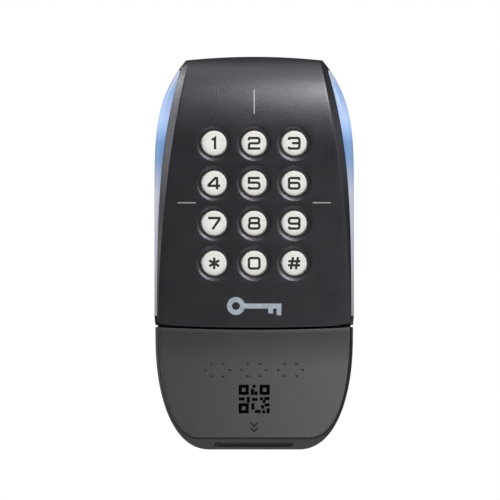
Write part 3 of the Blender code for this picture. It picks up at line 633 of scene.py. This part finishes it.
def make_shell_skin():
    """The upper cover: a crowned face with twelve dished key holes, a rounded bevel and a thick edge."""
    skin = Skin()

    def face(i, j):
        x, height = upper_place(i, j, face_edge, 0.12, 0.72)
        return (x, face_depth(x, height), height)

    def under(i, j):
        x, height = upper_place(i, j, rim, SKIRT, SKIRT)
        return (x, face_depth(x, height) - WALL, height)

    def in_cells(i, j):
        return 0 <= i - SIDE_STEPS < CELL_COLUMNS and 0 <= j - CELL_ROW < 4 * CELL_STEPS

    def inside_cell(i, j):
        if not in_cells(i, j):
            return False
        return (i - SIDE_STEPS) % CELL_STEPS != 0 and (j - CELL_ROW) % CELL_STEPS != 0

    rows = len(UPPER_ROWS)
    edge = border(UPPER_COLUMNS, rows)
    sheets = [skin.sheet(UPPER_COLUMNS, rows, where, inside_cell, in_cells) for where in (face, under)]

    names = {(column, row): KEY_NAMES[3 * (3 - row) + column] for column in range(3) for row in range(4)}
    for (column, row), name in names.items():
        key_x, key_height = KEYS[name]
        cell = [(i + SIDE_STEPS + column * CELL_STEPS, j + CELL_ROW + row * CELL_STEPS)
                for i, j in border(CELL_STEPS + 1, CELL_STEPS + 1)]
        turn = [math.radians(-135) + 2 * math.pi * k / len(cell) for k in range(len(cell))]

        def ring(radius, drop):
            points = []
            for a in turn:
                x, height = key_x + radius * math.cos(a), key_height + radius * math.sin(a)
                points.append((x, face_depth(x, height) - drop, height))
            return skin.loop(points)

        loops = [[sheets[0][c] for c in cell]]
        loops += [ring(radius, drop) for radius, drop in DISH]
        loops += [ring(5.35, WALL), [sheets[1][c] for c in cell]]
        skin.chain(loops)

    def pocket(j):
        return POCKET if STRIP_BOTTOM <= UPPER_ROWS[j] <= STRIP_TOP else 0.1

    def bevel_ring(part, drop, stepped=False, inset=0.0, to_parting=False):
        points = []
        for i, j in edge:
            step = pocket(j) if stepped else inset
            end = 0.1 if stepped else inset
            depth = parting_depth(UPPER_ROWS[j]) + 0.6 if to_parting else None
            points.append(bevel_point(i, j, part, drop, step, end, depth))
        return skin.loop(points)

    facet = [(0.0, 0.03), (0.04, 0.11), (0.09, 0.23), (0.3, 0.75), (0.5, 1.25), (0.7, 1.75), (0.9, 2.25),
             (0.96, 2.42), (1.0, 2.62)]
    loops = [[sheets[0][c] for c in edge]]
    loops += [bevel_ring(part, drop) for part, drop in facet]
    loops += [
        bevel_ring(1.0, BEVEL_DEPTH + LIP - 0.08),
        bevel_ring(1.0, BEVEL_DEPTH + LIP, inset=0.08),
        bevel_ring(1.0, BEVEL_DEPTH + LIP + 0.02, stepped=True),
        bevel_ring(1.0, 0, stepped=True, to_parting=True),
        bevel_ring(1.0, 0, inset=SKIRT, to_parting=True),
        [sheets[1][c] for c in edge],
    ]
    skin.chain(loops)
    return skin.done("shell_skin", FINISH["shell"], 40)


def make_guide_skin(name, side):
    """A frosted light strip: rounded outer face, tapering to a point at its top."""
    skin = Skin()
    rings = []
    for row in spread(STRIP_BOTTOM + GAP, STRIP_TOP - GAP, 90):
        height = row + end_curve(row)
        inner, outer = rim(height), silhouette(height)
        front = face_depth(inner, row) - BEVEL_DEPTH - LIP - 0.15
        back = parting_depth(row) + GAP
        width = outer - inner
        points = [(inner - POCKET + GAP, front - 0.2), (inner - 0.1, front - 0.02)]
        for k in range(1, 9):
            turn = math.radians(90 * k / 8)
            points.append((inner + (width - 0.02) * math.sin(turn), front - 3.4 * (1 - math.cos(turn))))
        points += [(outer - 0.02, mix(front - 3.4, back, 0.5)), (outer - 0.02, back + 0.15)]
        points += [(outer - 0.17, back), (inner - POCKET + GAP, back)]
        rings.append([(side * x, depth, height) for x, depth in points])
    skin.tube(rings)
    return skin.done(name, FINISH["guide"], 35)


def make_rear_skin():
    """The upper reader's rear tray, with a softly rounded rear edge."""
    skin = Skin()
    edge = border(UPPER_COLUMNS, len(UPPER_ROWS))

    def ring(half_width, inset, depth_of_row):
        points = []
        for i, j in edge:
            x, height = upper_place(i, j, half_width, inset, inset)
            points.append((x, depth_of_row(UPPER_ROWS[j]), height))
        return points

    def behind(by):
        return lambda row: parting_depth(row) - by

    skin.tube([
        ring(silhouette, 1.1, lambda row: REAR_FACE),
        ring(silhouette, 0.72, lambda row: REAR_FACE + 0.12),
        ring(silhouette, 0.55, lambda row: REAR_FACE + 0.5),
        ring(silhouette, 0.3, lambda row: mix(REAR_FACE, parting_depth(row), 0.5)),
        ring(silhouette, 0.0, behind(0.12)),
        ring(silhouette, 0.1, behind(0.0)),
        ring(rim, SKIRT, behind(0.0)),
        ring(rim, SKIRT, behind(1.2)),
        ring(silhouette, WALL, behind(1.5)),
        ring(silhouette, WALL, lambda row: REAR_INSIDE),
    ])
    return skin.done("rear_skin", FINISH["housing"], 40)


# ---- scanner module

LOWER_STEPS = spread(0, 0.96, 37)
LOWER_ROWS = len(LOWER_STEPS) + 3
LOWER_COLUMNS = 49


def lower_place(i, j, curve, inset=0.0):
    """x and height of a grid place of the scanner module; the last rows run up to the seam."""
    across = mix(-1, 1, i / (LOWER_COLUMNS - 1))
    last = len(LOWER_STEPS) - 1
    k = LOWER_STEPS[min(j, last)]
    x, height = bezier(curve, k)
    ahead, behind = bezier(curve, k + 0.01), bezier(curve, k - 0.01)
    run = Vector((ahead[0] - behind[0], ahead[1] - behind[1])).normalized()
    x, height = x - inset * run.y, height + inset * run.x
    sag = SEAM_RISE * across * across
    height += sag * max(0.0, (height - 36) / 12) ** 2
    if j > last:
        part = (j - last) / (LOWER_ROWS - 1 - last)
        top = SEAM_LOW - inset + sag
        x = mix(x, curve[3][0] + 0.05 - inset, part)
        height = mix(height, top, part)
    return x * across, height


def module_outline(depth, inset):
    """Points round the scanner module's outer outline at one depth."""
    spots = [lower_place(i, j, LOWER_OUTER, inset) for i, j in border(LOWER_COLUMNS, LOWER_ROWS)]
    return [(x, depth, height) for x, height in spots]


def underside_run(k):
    """How far back the outer outline lies behind the front edge, up from the bottom."""
    most = centre_depth(UNDERSIDE_EDGE) - UNDERSIDE_BACK
    return SIDE_BEVEL + (most - SIDE_BEVEL) * max(0.0, 1 - k / 0.6) ** 2


def make_cover_skin():
    """The scanner module's cover: a flared face, rounded edges and a slanted underside."""
    skin = Skin()
    rows = LOWER_ROWS
    edge = border(LOWER_COLUMNS, rows)

    def face(i, j):
        x, height = lower_place(i, j, LOWER_FRONT, 0.35)
        return (x, face_depth(x, height), height)

    def under(i, j):
        x, height = lower_place(i, j, LOWER_FRONT, WALL)
        return (x, face_depth(x, height) - WALL, height)

    grids = [skin.sheet(LOWER_COLUMNS, rows, where) for where in (face, under)]

    def between(part, drop=0.0, inset=0.0, inner=0.0):
        """A ring on the way from the face's outline to the outer outline."""
        points = []
        for i, j in edge:
            x_in, h_in = lower_place(i, j, LOWER_FRONT, inner)
            x_out, h_out = lower_place(i, j, LOWER_OUTER, inset)
            k = LOWER_STEPS[min(j, len(LOWER_STEPS) - 1)]
            front = face_depth(x_in, h_in)
            back = front - underside_run(k)
            points.append((mix(x_in, x_out, part), mix(front, back, part) - drop, mix(h_in, h_out, part)))
        return skin.loop(points)

    def back_ring(inset, depth):
        return skin.loop(module_outline(depth, inset))

    loops = [[grids[0][c] for c in edge]]
    loops += [between(0.0, 0.03, 0.0, 0.24), between(0.0, 0.15, 0.0, 0.15), between(0.0, 0.8, 0.0, 0.12)]
    loops += [between(0.09, 0.8), between(0.09, 0.15), between(0.11, 0.02)]
    loops += [between(part) for part in (0.14, 0.3, 0.5, 0.7, 0.86, 0.95)]
    loops += [between(1.0, 0.5), between(1.0, 1.2)]
    loops += [back_ring(0.0, COVER_BACK + 0.12), back_ring(0.12, COVER_BACK), back_ring(0.6, COVER_BACK)]
    loops += [back_ring(0.6, COVER_BACK + 1.0), back_ring(WALL, COVER_BACK + 1.0)]
    loops += [between(1.0, 0.5, WALL), [grids[1][c] for c in edge]]
    skin.chain(loops)
    return skin.done("cover_skin", FINISH["cover"], 40)


def underside_frame():
    """Centre, run and outward directions of the slanted underside, as (depth, height) pairs."""
    front = Vector((centre_depth(UNDERSIDE_EDGE), UNDERSIDE_EDGE))
    back = Vector((UNDERSIDE_BACK, 0.0))
    run = (front - back).normalized()
    return back + (front - back) * 0.42, run, Vector((run.y, -run.x))


def window_ring(margin, lift, corner):
    """A rounded rectangle on the slanted underside, margin in from the window's opening."""
    centre, run, out = underside_frame()
    half_run = WINDOW_RUN / 2 - margin
    shape = rounded_rect(WINDOW_HALF - margin, -half_run, half_run, corner, 7)
    return [(x, *(centre + run * along + out * lift)) for x, along in shape]


def make_base_skin():
    """The scanner module's tray, with a tongue inside its front edge."""
    sections = (
        (REAR_FACE, 1.1),
        (REAR_FACE + 0.12, 0.72),
        (REAR_FACE + 0.5, 0.55),
        (BASE_FRONT - 0.12, 0.0),
        (BASE_FRONT, 0.12),
        (BASE_FRONT, 0.9),
        (BASE_FRONT + 0.85, 0.95),
        (BASE_FRONT + 0.85, WALL),
        (REAR_INSIDE, WALL),
    )
    rings = [module_outline(depth, inset) for depth, inset in sections]
    return Skin().tube(rings).done("base_skin", FINISH["housing"], 40)


# ---- keys

def key_top(x, height):
    return face_depth(x, height) + KEY_PROUD


def make_key_skin(name):
    """A keycap whose flat top rolls off to a rounded edge, over its flange and stem."""
    x, height = KEYS[name]
    stem_end = -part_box("key_" + name)[1].y / MM + STEM_SHORT
    top = key_top(x, height)
    front = face_depth(x, height)
    flange = front - FLANGE_DROP
    under, shoulder = flange - FLANGE_THICK, top - 0.62
    profile = [(0, stem_end), (STEM_RADIUS, stem_end), (STEM_RADIUS, under), (FLANGE_RADIUS, under)]
    profile += [(FLANGE_RADIUS, flange), (CAP_RADIUS, flange), (CAP_RADIUS, shoulder)]
    for angle in range(15, 91, 15):
        turn = math.radians(angle)
        inward, rise = CAP_ROUNDING * (1 - math.cos(turn)), CAP_ROUNDING * math.sin(turn)
        profile.append((CAP_RADIUS - inward, shoulder + rise))
    profile += [(4.2, top - 0.07), (3.9, top - 0.035), (3.6, top - 0.02), (2.0, top - 0.02), (0, top - 0.02)]
    made = Skin().turned(x, height, profile, 64).done("cap_" + name, FINISH["key"], 40)
    centre = place(x, front, height)
    made.data.transform(Matrix.Translation(-centre))
    made.location = centre
    return made


# ---- legends and markings

STROKE = 0.98
RISE = 0.03


def ribbon(skin, path, width, surface, closed=False, proud=RISE, sunk=0.12, step=0.7):
    """A thin raised line along a path of (x, height) points, mitred at its corners."""
    spots = [Vector(p) for p in path]
    count = len(spots)
    runs = [(spots[(k + 1) % count] - spots[k]) for k in range(count if closed else count - 1)]
    sections = []
    for k, spot in enumerate(spots):
        before = runs[k - 1] if closed or k > 0 else runs[0]
        after = runs[k] if closed or k < count - 1 else runs[-1]
        sides = [Vector((-run.y, run.x)).normalized() for run in (before, after)]
        mitre = (sides[0] + sides[1]).normalized()
        sections.append((spot, mitre * (width / 2) / mitre.dot(sides[0])))
    if closed:
        sections.append(sections[0])
    fine = []
    for (spot, side), (next_spot, next_side) in zip(sections, sections[1:]):
        parts = max(1, math.ceil((next_spot - spot).length / step))
        for k in range(parts):
            fine.append((spot.lerp(next_spot, k / parts), side.lerp(next_side, k / parts)))
    if not closed:
        fine.append(sections[-1])
    rings = []
    for spot, side in fine:
        ring = []
        for sign, lift in ((-1, -sunk), (1, -sunk), (1, proud), (-1, proud)):
            x, height = spot + side * sign
            ring.append((x, surface(x, height) + lift, height))
        rings.append(ring)
    return skin.hoop(rings) if closed else skin.tube(rings)


def arc(centre_x, centre_height, radius, start, end, count):
    """Points along an arc, angles in degrees."""
    turns = [math.radians(angle) for angle in spread(start, end, count)]
    return [(centre_x + radius * math.cos(a), centre_height + radius * math.sin(a)) for a in turns]


def rounded_rect(half_x, low, high, radius, count=5):
    """Points round a rounded rectangle between two heights, anticlockwise, count to a corner."""
    points = []
    corners = ((1, high, 0), (-1, high, 90), (-1, low, 180), (1, low, 270))
    for side, height, start in corners:
        inward = -1 if height == high else 1
        points += arc(side * (half_x - radius), height + inward * radius, radius, start, start + 90, count)
    return points


def turned_half(path):
    return [(-x, -y) for x, y in path]


def softened(path, closed, sharp=(), radius=0.95):
    """The path with its corners rounded, apart from the sharp ones."""
    spots = [Vector(p) for p in path]
    count = len(spots)
    points = []
    for k, spot in enumerate(spots):
        if k in sharp or not closed and k in (0, count - 1):
            points.append(tuple(spot))
            continue
        back, ahead = spots[k - 1] - spot, spots[(k + 1) % count] - spot
        reach = min(radius, back.length * 0.45, ahead.length * 0.45)
        start, end = spot + back.normalized() * reach, spot + ahead.normalized() * reach
        for part in spread(0, 1, 5):
            points.append(tuple(start.lerp(spot, part).lerp(spot.lerp(end, part), part)))
    return points


ARM = 2.1
SIX = (
    (((2.0, 1.3), (2.0, ARM), (-ARM, ARM), (-ARM, 0.0)), False),
    (((-ARM, 0.15), (-ARM, -ARM), (ARM, -ARM), (ARM, 0.15)), True),
)
GLYPHS = {
    "1": ((((-1.0, 1.35), (0.35, ARM), (0.35, -ARM - 0.3)), False),),
    "2": (
        (((-ARM, 1.2), (-ARM, ARM), (ARM, ARM), (ARM, 0), (-ARM, 0), (-ARM, -ARM), (2.4, -ARM)), False),
    ),
    "3": (
        (((-ARM, 1.35), (-ARM, ARM), (ARM, ARM), (ARM, -ARM), (-ARM, -ARM), (-ARM, -1.35)), False),
        (((-0.9, 0.03), (ARM, 0.03)), False),
    ),
    "4": (
        (((2.4, -1.0), (-2.2, -1.0), (-2.2, -0.62), (0.45, ARM), (1.4, ARM)), False),
        (((1.15, 2.44), (1.15, -2.45)), False),
    ),
    "5": (
        (
            ((2.2, ARM), (-ARM, ARM), (-ARM, 0.25), (ARM, 0.25), (ARM, -ARM), (-ARM, -ARM), (-ARM, -1.35)),
            False,
        ),
    ),
    "6": SIX,
    "7": ((((-2.4, ARM), (ARM, ARM), (ARM, 1.5), (-0.7, -2.4)), False),),
    "8": (
        (((-1.9, 0.07), (-1.9, ARM), (1.9, ARM), (1.9, 0.07)), True),
        (((-ARM, 0.03), (-ARM, -ARM), (ARM, -ARM), (ARM, 0.03)), True),
    ),
    "9": tuple((turned_half(path), closed) for path, closed in SIX),
    "0": ((((-ARM, -ARM), (ARM, -ARM), (ARM, ARM), (-ARM, ARM)), True),),
    "hash": (
        (((-1.35, -2.45), (-0.45, 2.45)), False),
        (((0.65, -2.45), (1.55, 2.45)), False),
        (((-2.35, 0.8), (2.5, 0.8)), False),
        (((-2.5, -0.8), (2.35, -0.8)), False),
    ),
    "star": tuple(
        ([(2.3 * math.sin(a), 2.3 * math.cos(a)), (-2.3 * math.sin(a), -2.3 * math.cos(a))], False)
        for a in (0, math.pi / 3, 2 * math.pi / 3)
    ),
}
# Corners that stay crisp, by their place in the digit's only path.
SHARP = {"2": (5,), "5": (1, 2)}


def make_legend(name):
    """The dark numeral or sign on a keycap."""
    x, height = KEYS[name]
    top = key_top(x, height) - 0.02
    width = 1.0 if name == "star" else STROKE
    strokes = []
    for path, closed in GLYPHS[name]:
        if name in "0235689":
            path = softened(path, closed, SHARP.get(name, ()))
        path = [(x + px, height + py) for px, py in path]
        stroke = ribbon(Skin(), path, width, lambda a, b: top, closed, step=9)
        strokes.append(stroke.done("legend_" + name, FINISH["legend"]))
    whole = joined(strokes)
    whole.data.shade_flat()
    return whole


def make_alignment_marks():
    """Three short silver lines that show where a card is held."""
    lines = {
        "mark_top": ([(0.0, 134.4), (0.0, 143.9)], 0.5),
        "mark_left": ([(-30.6, 98.7), (-23.4, 98.7)], 0.45),
        "mark_right": ([(23.4, 98.7), (30.6, 98.7)], 0.45),
    }
    for name, (path, width) in lines.items():
        ribbon(Skin(), path, width, face_depth, step=0.5).fixed(name, "mark", 40, "white_plastic")


def make_key_sign():
    """A small silver pictogram of a key, in line with the middle column of keys."""
    middle = 57.4
    parts = (
        (arc(-7.3, middle, 2.6, 0, 342, 20), 2.0, True),
        (((-4.9, middle), (10.9, middle)), 2.0, False),
        (((9.9, middle - 0.4), (9.9, middle - 3.7)), 1.9, False),
        (((6.6, middle - 0.4), (6.6, middle - 3.0)), 1.9, False),
    )
    strokes = [ribbon(Skin(), path, width, face_depth, closed) for path, width, closed in parts]
    whole = joined([stroke.done("key_sign", FINISH["silver"], 40) for stroke in strokes])
    ride_as(whole, "housing", "white_plastic")


TACTILE_ROWS = (34.5, 32.1, 29.6)
TACTILE_CELLS = ((-19.5, "246"), (-12.2, "135"), (-4.9, "246"), (2.4, "135"), (9.7, "246"), (17.0, "135"))
TACTILE_STEP = 2.45


def make_tactile_dots():
    """A zigzag of small domes, which spells nothing. 1 to 3 run down a cell's left side, 4 to 6 its right."""
    for number, (left, dots) in enumerate(TACTILE_CELLS):
        skin = Skin()
        for dot in dots:
            place_in_cell = int(dot) - 1
            x = left + TACTILE_STEP * (place_in_cell // 3)
            height = TACTILE_ROWS[place_in_cell % 3]
            base = face_depth(x, height)
            profile = [(0.62, base - 0.25), (0.62, base - 0.02)]
            profile += [(0.6 * math.cos(a), base + 0.46 * math.sin(a)) for a in spread(0.15, 1.35, 6)]
            profile.append((0, base + 0.46))
            skin.turned(x, height, [(0, base - 0.25)] + profile, 20)
        skin.fixed(f"tactile_cell_{number + 1}", "cover", 50, "cover_plastic")


CODE_HALF = 6.1
CODE_LOW = 14.6
CODE_HIGH = 25.8
CODE_COLUMNS = 12
CODE_ROWS = 11


def code_spot(column, row):
    """x and height of a corner of the code pattern's grid, rows counted from the top."""
    x = mix(-CODE_HALF, CODE_HALF, column / CODE_COLUMNS)
    return x, mix(CODE_HIGH, CODE_LOW, row / CODE_ROWS)


def make_code_sign():
    """A generic square scan pattern: three framed corners and scattered blocks, which encode nothing."""
    skin = Skin()

    def patch(column, row, wide, tall):
        """A flat raised rectangle of wide by tall modules."""
        (left, top), (right, bottom) = code_spot(column, row), code_spot(column + wide, row + tall)
        middle = (top + bottom) / 2
        ribbon(skin, [(left, middle), (right, middle)], top - bottom, face_depth, step=1.2)

    for column, row in ((0, 0), (8.25, 0), (0, 7.25)):
        left, top = code_spot(column + 0.5, row + 0.5)
        right, bottom = code_spot(column + 3.25, row + 3.25)
        corners = [(left, top), (left, bottom), (right, bottom), (right, top)]
        ribbon(skin, corners, 1.25, face_depth, True, step=1.2)
    blocks = (
        (5.5, 0, 1, 1), (4.8, 1.6, 1, 2.2), (6.2, 2.6, 1, 1.2), (0, 5, 2.2, 1), (3.2, 4.8, 1, 2),
        (5.2, 5.2, 2, 1), (8.4, 4.9, 1, 1), (10, 4.8, 2, 1.1), (9.4, 6, 1, 1), (5, 7.3, 1, 2.2),
        (6.4, 9.9, 2, 1), (8.8, 8, 1, 1.2), (10.2, 7.3, 1.8, 1), (11, 9.2, 1, 1.8), (9.2, 10, 1, 1),
    )
    for column, row, wide, tall in blocks:
        patch(column - 0.1, row - 0.1, wide + 0.2, tall + 0.2)
    skin.fixed("code_sign", "ink", 40, "cover_plastic")


def make_chevrons():
    """Two arrowheads that point down to the scan window."""
    for number, height in enumerate((10.8, 8.8)):
        path = [(-1.45, height), (0, height - 1.6), (1.45, height)]
        arrow = ribbon(Skin(), path, 0.38, face_depth, step=0.5)
        arrow.fixed(f"chevron_{number + 1}", "ink", 40, "cover_plastic")


# ---- window, back and fixings

def make_window():
    """The dark scan window and its seal, set into the slanted underside."""
    outline = ((1.42, -1.9, 0.8), (1.42, -0.58, 0.8), (1.5, -0.5, 0.85))
    rings = [window_ring(margin, lift, WINDOW_CORNER - less) for margin, lift, less in outline]
    Skin().tube(rings).fixed("window_skin", "window", 40, "dark_window", "scanner_window")
    seal = Skin()
    section = ((0.15, -1.8), (0.15, -0.4), (0.25, -0.3), (1.2, -0.3), (1.3, -0.4), (1.3, -1.8))
    seal.hoop([window_ring(margin, lift, WINDOW_CORNER - 0.55 * margin) for margin, lift in section])
    seal.fixed("seal_skin", "rubber", 40, "seal_rubber", "window_gasket")


def round_cutter(x, height, radius, depths, sides=48):
    return stepped_cutter(x, height, [(radius, depth) for depth in depths], sides)


def stepped_cutter(x, height, profile, sides=40):
    return Skin().turned(x, height, profile, sides).done("tool")


def upright_ring(x, depth, height, radius, sides):
    return [(px, out, height) for px, out in circle(x, depth, radius, sides)]


def upright_cutter(x, depth, profile, sides=40):
    """A turned cutter whose axis stands upright, from a (radius, height) profile."""
    rings = [upright_ring(x, depth, height, radius, sides) for radius, height in profile]
    return Skin().tube(rings).done("tool")


def slab_cutter(x_span, depth_span, height_span):
    return Skin().slab(x_span, depth_span, height_span).done("tool")


def slot_cutter(x, height, half_x, half_height, depths, radius):
    """A rounded rectangular hole through a flat part."""
    shape = rounded_rect(half_x, -half_height, half_height, radius)
    return Skin().tube([[(x + px, depth, height + py) for px, py in shape] for depth in depths]).done("tool")


CABLE = centre_of("cable_grommet")
TAMPER = centre_of("tamper_plunger")
LOCK_DEPTH = -(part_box("security_screw")[0].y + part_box("security_screw")[1].y) / 2 / MM
HOUSING_SCREW_NAMES = [f"housing_screw_{k}" for k in range(1, 5)]
HOUSING_SCREWS = [centre_of(name) for name in HOUSING_SCREW_NAMES]
SCANNER_SCREWS = [centre_of("scanner_screw_" + side) for side in ("left", "right")]
MODULE_SCREWS = [centre_of("module_screw_" + side)[0] for side in ("left", "right")]
MODULE_SCREW_DEPTH = -(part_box("module_screw_left")[0].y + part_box("module_screw_left")[1].y) / 2 / MM
COUNTERBORE = ((3.0, 1.0), (3.0, 4.3), (1.6, 4.3), (1.6, 8.0))


def screw_cutters(centres, low, high):
    """Counterbores for the screws from behind, and the module screws' upright holes."""
    tools = [stepped_cutter(*centre, COUNTERBORE) for centre in centres]
    return tools + [upright_cutter(x, MODULE_SCREW_DEPTH, ((1.6, low), (1.6, high))) for x in MODULE_SCREWS]


def finish_rear():
    tools = [
        round_cutter(*CABLE, 6.3, (1, 8)),
        round_cutter(*TAMPER, 2.4, (1, 8)),
        slab_cutter((-8.4, 8.4), (1, 8), (144.4, 147.6)),
        slab_cutter((-6, 6), (7.4, 9.9), (48, 53)),
    ] + screw_cutters(HOUSING_SCREWS, 48, 53)
    finished(make_rear_skin(), tools, 40, "housing_plastic", "rear_housing")


def finish_base():
    tools = [
        slab_cutter((-6.4, 6.4), (1, 8), (3.0, 9.4)),
        slab_cutter((-6, 6), (7.4, 9.9), (44, 50)),
        upright_cutter(0, LOCK_DEPTH, ((3.0, -2), (3.0, 1.3), (1.6, 1.3), (1.6, 3))),
    ] + screw_cutters(SCANNER_SCREWS, 44, 50)
    finished(make_base_skin(), tools, 40, "housing_plastic", "scanner_base")


def add_boss(target, x, height):
    """A screw boss behind a cover's face."""
    spots = circle(x, height, 3, 40)
    low = [(px, REAR_INSIDE + GAP, ph) for px, ph in spots]
    high = [(px, face_depth(px, ph) - WALL / 2, ph) for px, ph in spots]
    cut(target, Skin().tube([low, high]).done("tool"), "UNION")
    cut(target, stepped_cutter(x, height, ((1.6, REAR_INSIDE - 1), (1.6, 16))))


def finish_cover():
    cover = make_cover_skin()
    for centre in SCANNER_SCREWS:
        add_boss(cover, *centre)
    opening = Skin().tube([window_ring(0, lift, WINDOW_CORNER) for lift in (-6, 4)]).done("tool")
    finished(cover, [opening], 40, "cover_plastic", "scanner_cover")


def finish_shell():
    shell = make_shell_skin()
    for centre in HOUSING_SCREWS:
        add_boss(shell, *centre)
    tools = []
    for side in (-1, 1):
        for height in spread(78, 126, 4):
            low = parting_depth(height) + 1.9
            x_span = sorted((side * (rim(height) - SKIRT - 1), side * (rim(height) - POCKET + 0.2)))
            tools.append(slab_cutter(x_span, (low, low + 2.5), (height - 3, height + 3)))
    finished(shell, tools, 40, "shell_plastic", "front_shell")


def make_plate_skin():
    """The wall plate: a flat plate with softened edges, a hanging hook, a locking lug and fixing slots."""
    inset = 1.0
    top = UPPER_TOP - TOP_DROP
    right = [bezier(LOWER_OUTER, k / 24) for k in range(25)]
    right += [(silhouette(h), h) for h in spread(58, top, 50)]
    right = [(x - inset, max(h, inset)) for x, h in right]
    right[-1] = (right[-1][0], top - inset)
    outline = right + [(-x, h) for x, h in reversed(right)]
    middle = top / 2

    def ring(depth, shrink):
        points = []
        for x, h in outline:
            points.append((x * (1 - shrink / 38), depth, middle + (h - middle) * (1 - shrink / 76)))
        return points

    rings = [ring(0, 0.3), ring(0.3, 0), ring(PLATE_THICK - 0.3, 0), ring(PLATE_THICK, 0.3)]
    rings += [ring(PLATE_THICK, 2.5), ring(PLATE_THICK + 0.28, 2.6)]
    plate = Skin().tube(rings).done("plate_skin", FINISH["housing"], 30)
    for x_span, depth_span, height_span in (
        ((-8, 8), (PLATE_THICK - 0.5, 7.0), (145.2, 147.0)),
        ((-6, 6), (PLATE_THICK - 0.5, 15), (3.4, 9.0)),
    ):
        cut(plate, slab_cutter(x_span, depth_span, height_span), "UNION")
    tools = [round_cutter(*CABLE, 10, (-2, 6), 72), round_cutter(*TAMPER, 3, (-2, 6))]
    tools += [slot_cutter(x, height, 4.5, 2.25, (-2, 6), 2.2) for x in (-24, 24) for height in (126, 28)]
    tools.append(upright_cutter(0, LOCK_DEPTH, ((1.6, 2), (1.6, 8))))
    finished(plate, tools, 30, "housing_plastic", "wall_plate")


def make_grommet_skin():
    """The rubber grommet, rounded at its lips, with the cable's hole."""
    face, inner = REAR_FACE, REAR_INSIDE
    profile = [(4.4, face - 1.4), (4.2, face - 1.2), (4.2, inner + 1.6), (4.4, inner + 1.8)]
    profile += [(6.8, inner + 1.8), (7.3, inner + 1.3), (7.6, inner + GAP), (6.0, inner + GAP)]
    profile += [(6.0, face - GAP), (7.4, face - GAP), (7.6, face - 0.5), (7.6, face - 1.1), (7.3, face - 1.4)]
    x, height = CABLE
    skin = Skin()
    skin.hoop([[(px, depth, ph) for px, ph in circle(x, height, radius, 64)] for radius, depth in profile])
    skin.fixed("grommet_skin", "rubber", 40, "seal_rubber", "cable_grommet")


def make_lock_screw():
    """The locking screw under the foot, with a hexagon socket and a threaded shank."""
    profile = [(2.5, 0.1), (2.7, 0.25), (2.7, 1.0), (1.3, 1.0)]
    thread = [1.25 + 0.5 * k for k in range(13)]
    for height in thread:
        profile += [(1.3, height), (1.08, height + 0.22), (1.3, height + 0.44)]
    profile = [p for p in profile if p[1] < 7.5] + [(1.0, 7.6)]
    rings = [upright_ring(0, LOCK_DEPTH, height, radius, 40) for radius, height in profile]
    screw = Skin().tube(rings).done("lock_screw_skin", FINISH["steel"], 30)
    socket = upright_cutter(0, LOCK_DEPTH, ((1.3, -0.5), (1.3, 0.9)), 6)
    finished(screw, [socket], 30, "screw_steel", "security_screw")


# ---- carried-over pieces

INNER_FINISHES = {
    # The module ribbon takes the black seal finish as painted shade, so the seam gap in front of it reads
    # dark.
    "rubber": ("housing_gasket", "module_ribbon"),
    "silicone": ("keypad_mat",),
    "board": ("keypad_board", "main_board", "led_board_left", "led_board_right", "scanner_board"),
    "film": ("keypad_ribbon",),
    "coil": ("antenna_coil",),
    "terminal": ("terminal_block",),
    "housing": ("buzzer", "tamper_switch", "scanner_engine"),
    "white": ("tamper_plunger", "scan_led_left", "scan_led_right"),
    "window": ("scanner_lens",),
    "steel": ("tamper_spring", "scanner_screw_left", "scanner_screw_right", *HOUSING_SCREW_NAMES),
    "dark_steel": ("module_screw_left", "module_screw_right"),
}


def finish_inner():
    """Give every CAD node that stays its own procedural finish."""
    for finish, nodes in INNER_FINISHES.items():
        for name in nodes:
            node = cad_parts[name]
            for place_in_list in node.material_slots:
                place_in_list.material = FINISH[finish]


# ---- put together

make_camera()
make_studio()
finish_shell()
for side_name, sign in (("left", -1), ("right", 1)):
    guide = make_guide_skin("guide_skin_" + side_name, sign)
    ride_as(guide, "housing", "light_guide", "light_guide_" + side_name)
finish_rear()
finish_cover()
finish_base()
make_window()
make_plate_skin()
make_grommet_skin()
make_lock_screw()
for key_name in KEY_NAMES:
    body = "key_" + key_name
    ride_as(make_key_skin(key_name), body, "keycap_plastic", body)
    ride_as(make_legend(key_name), body, "housing_plastic")
make_alignment_marks()
make_key_sign()
make_tactile_dots()
make_code_sign()
make_chevrons()
finish_inner()
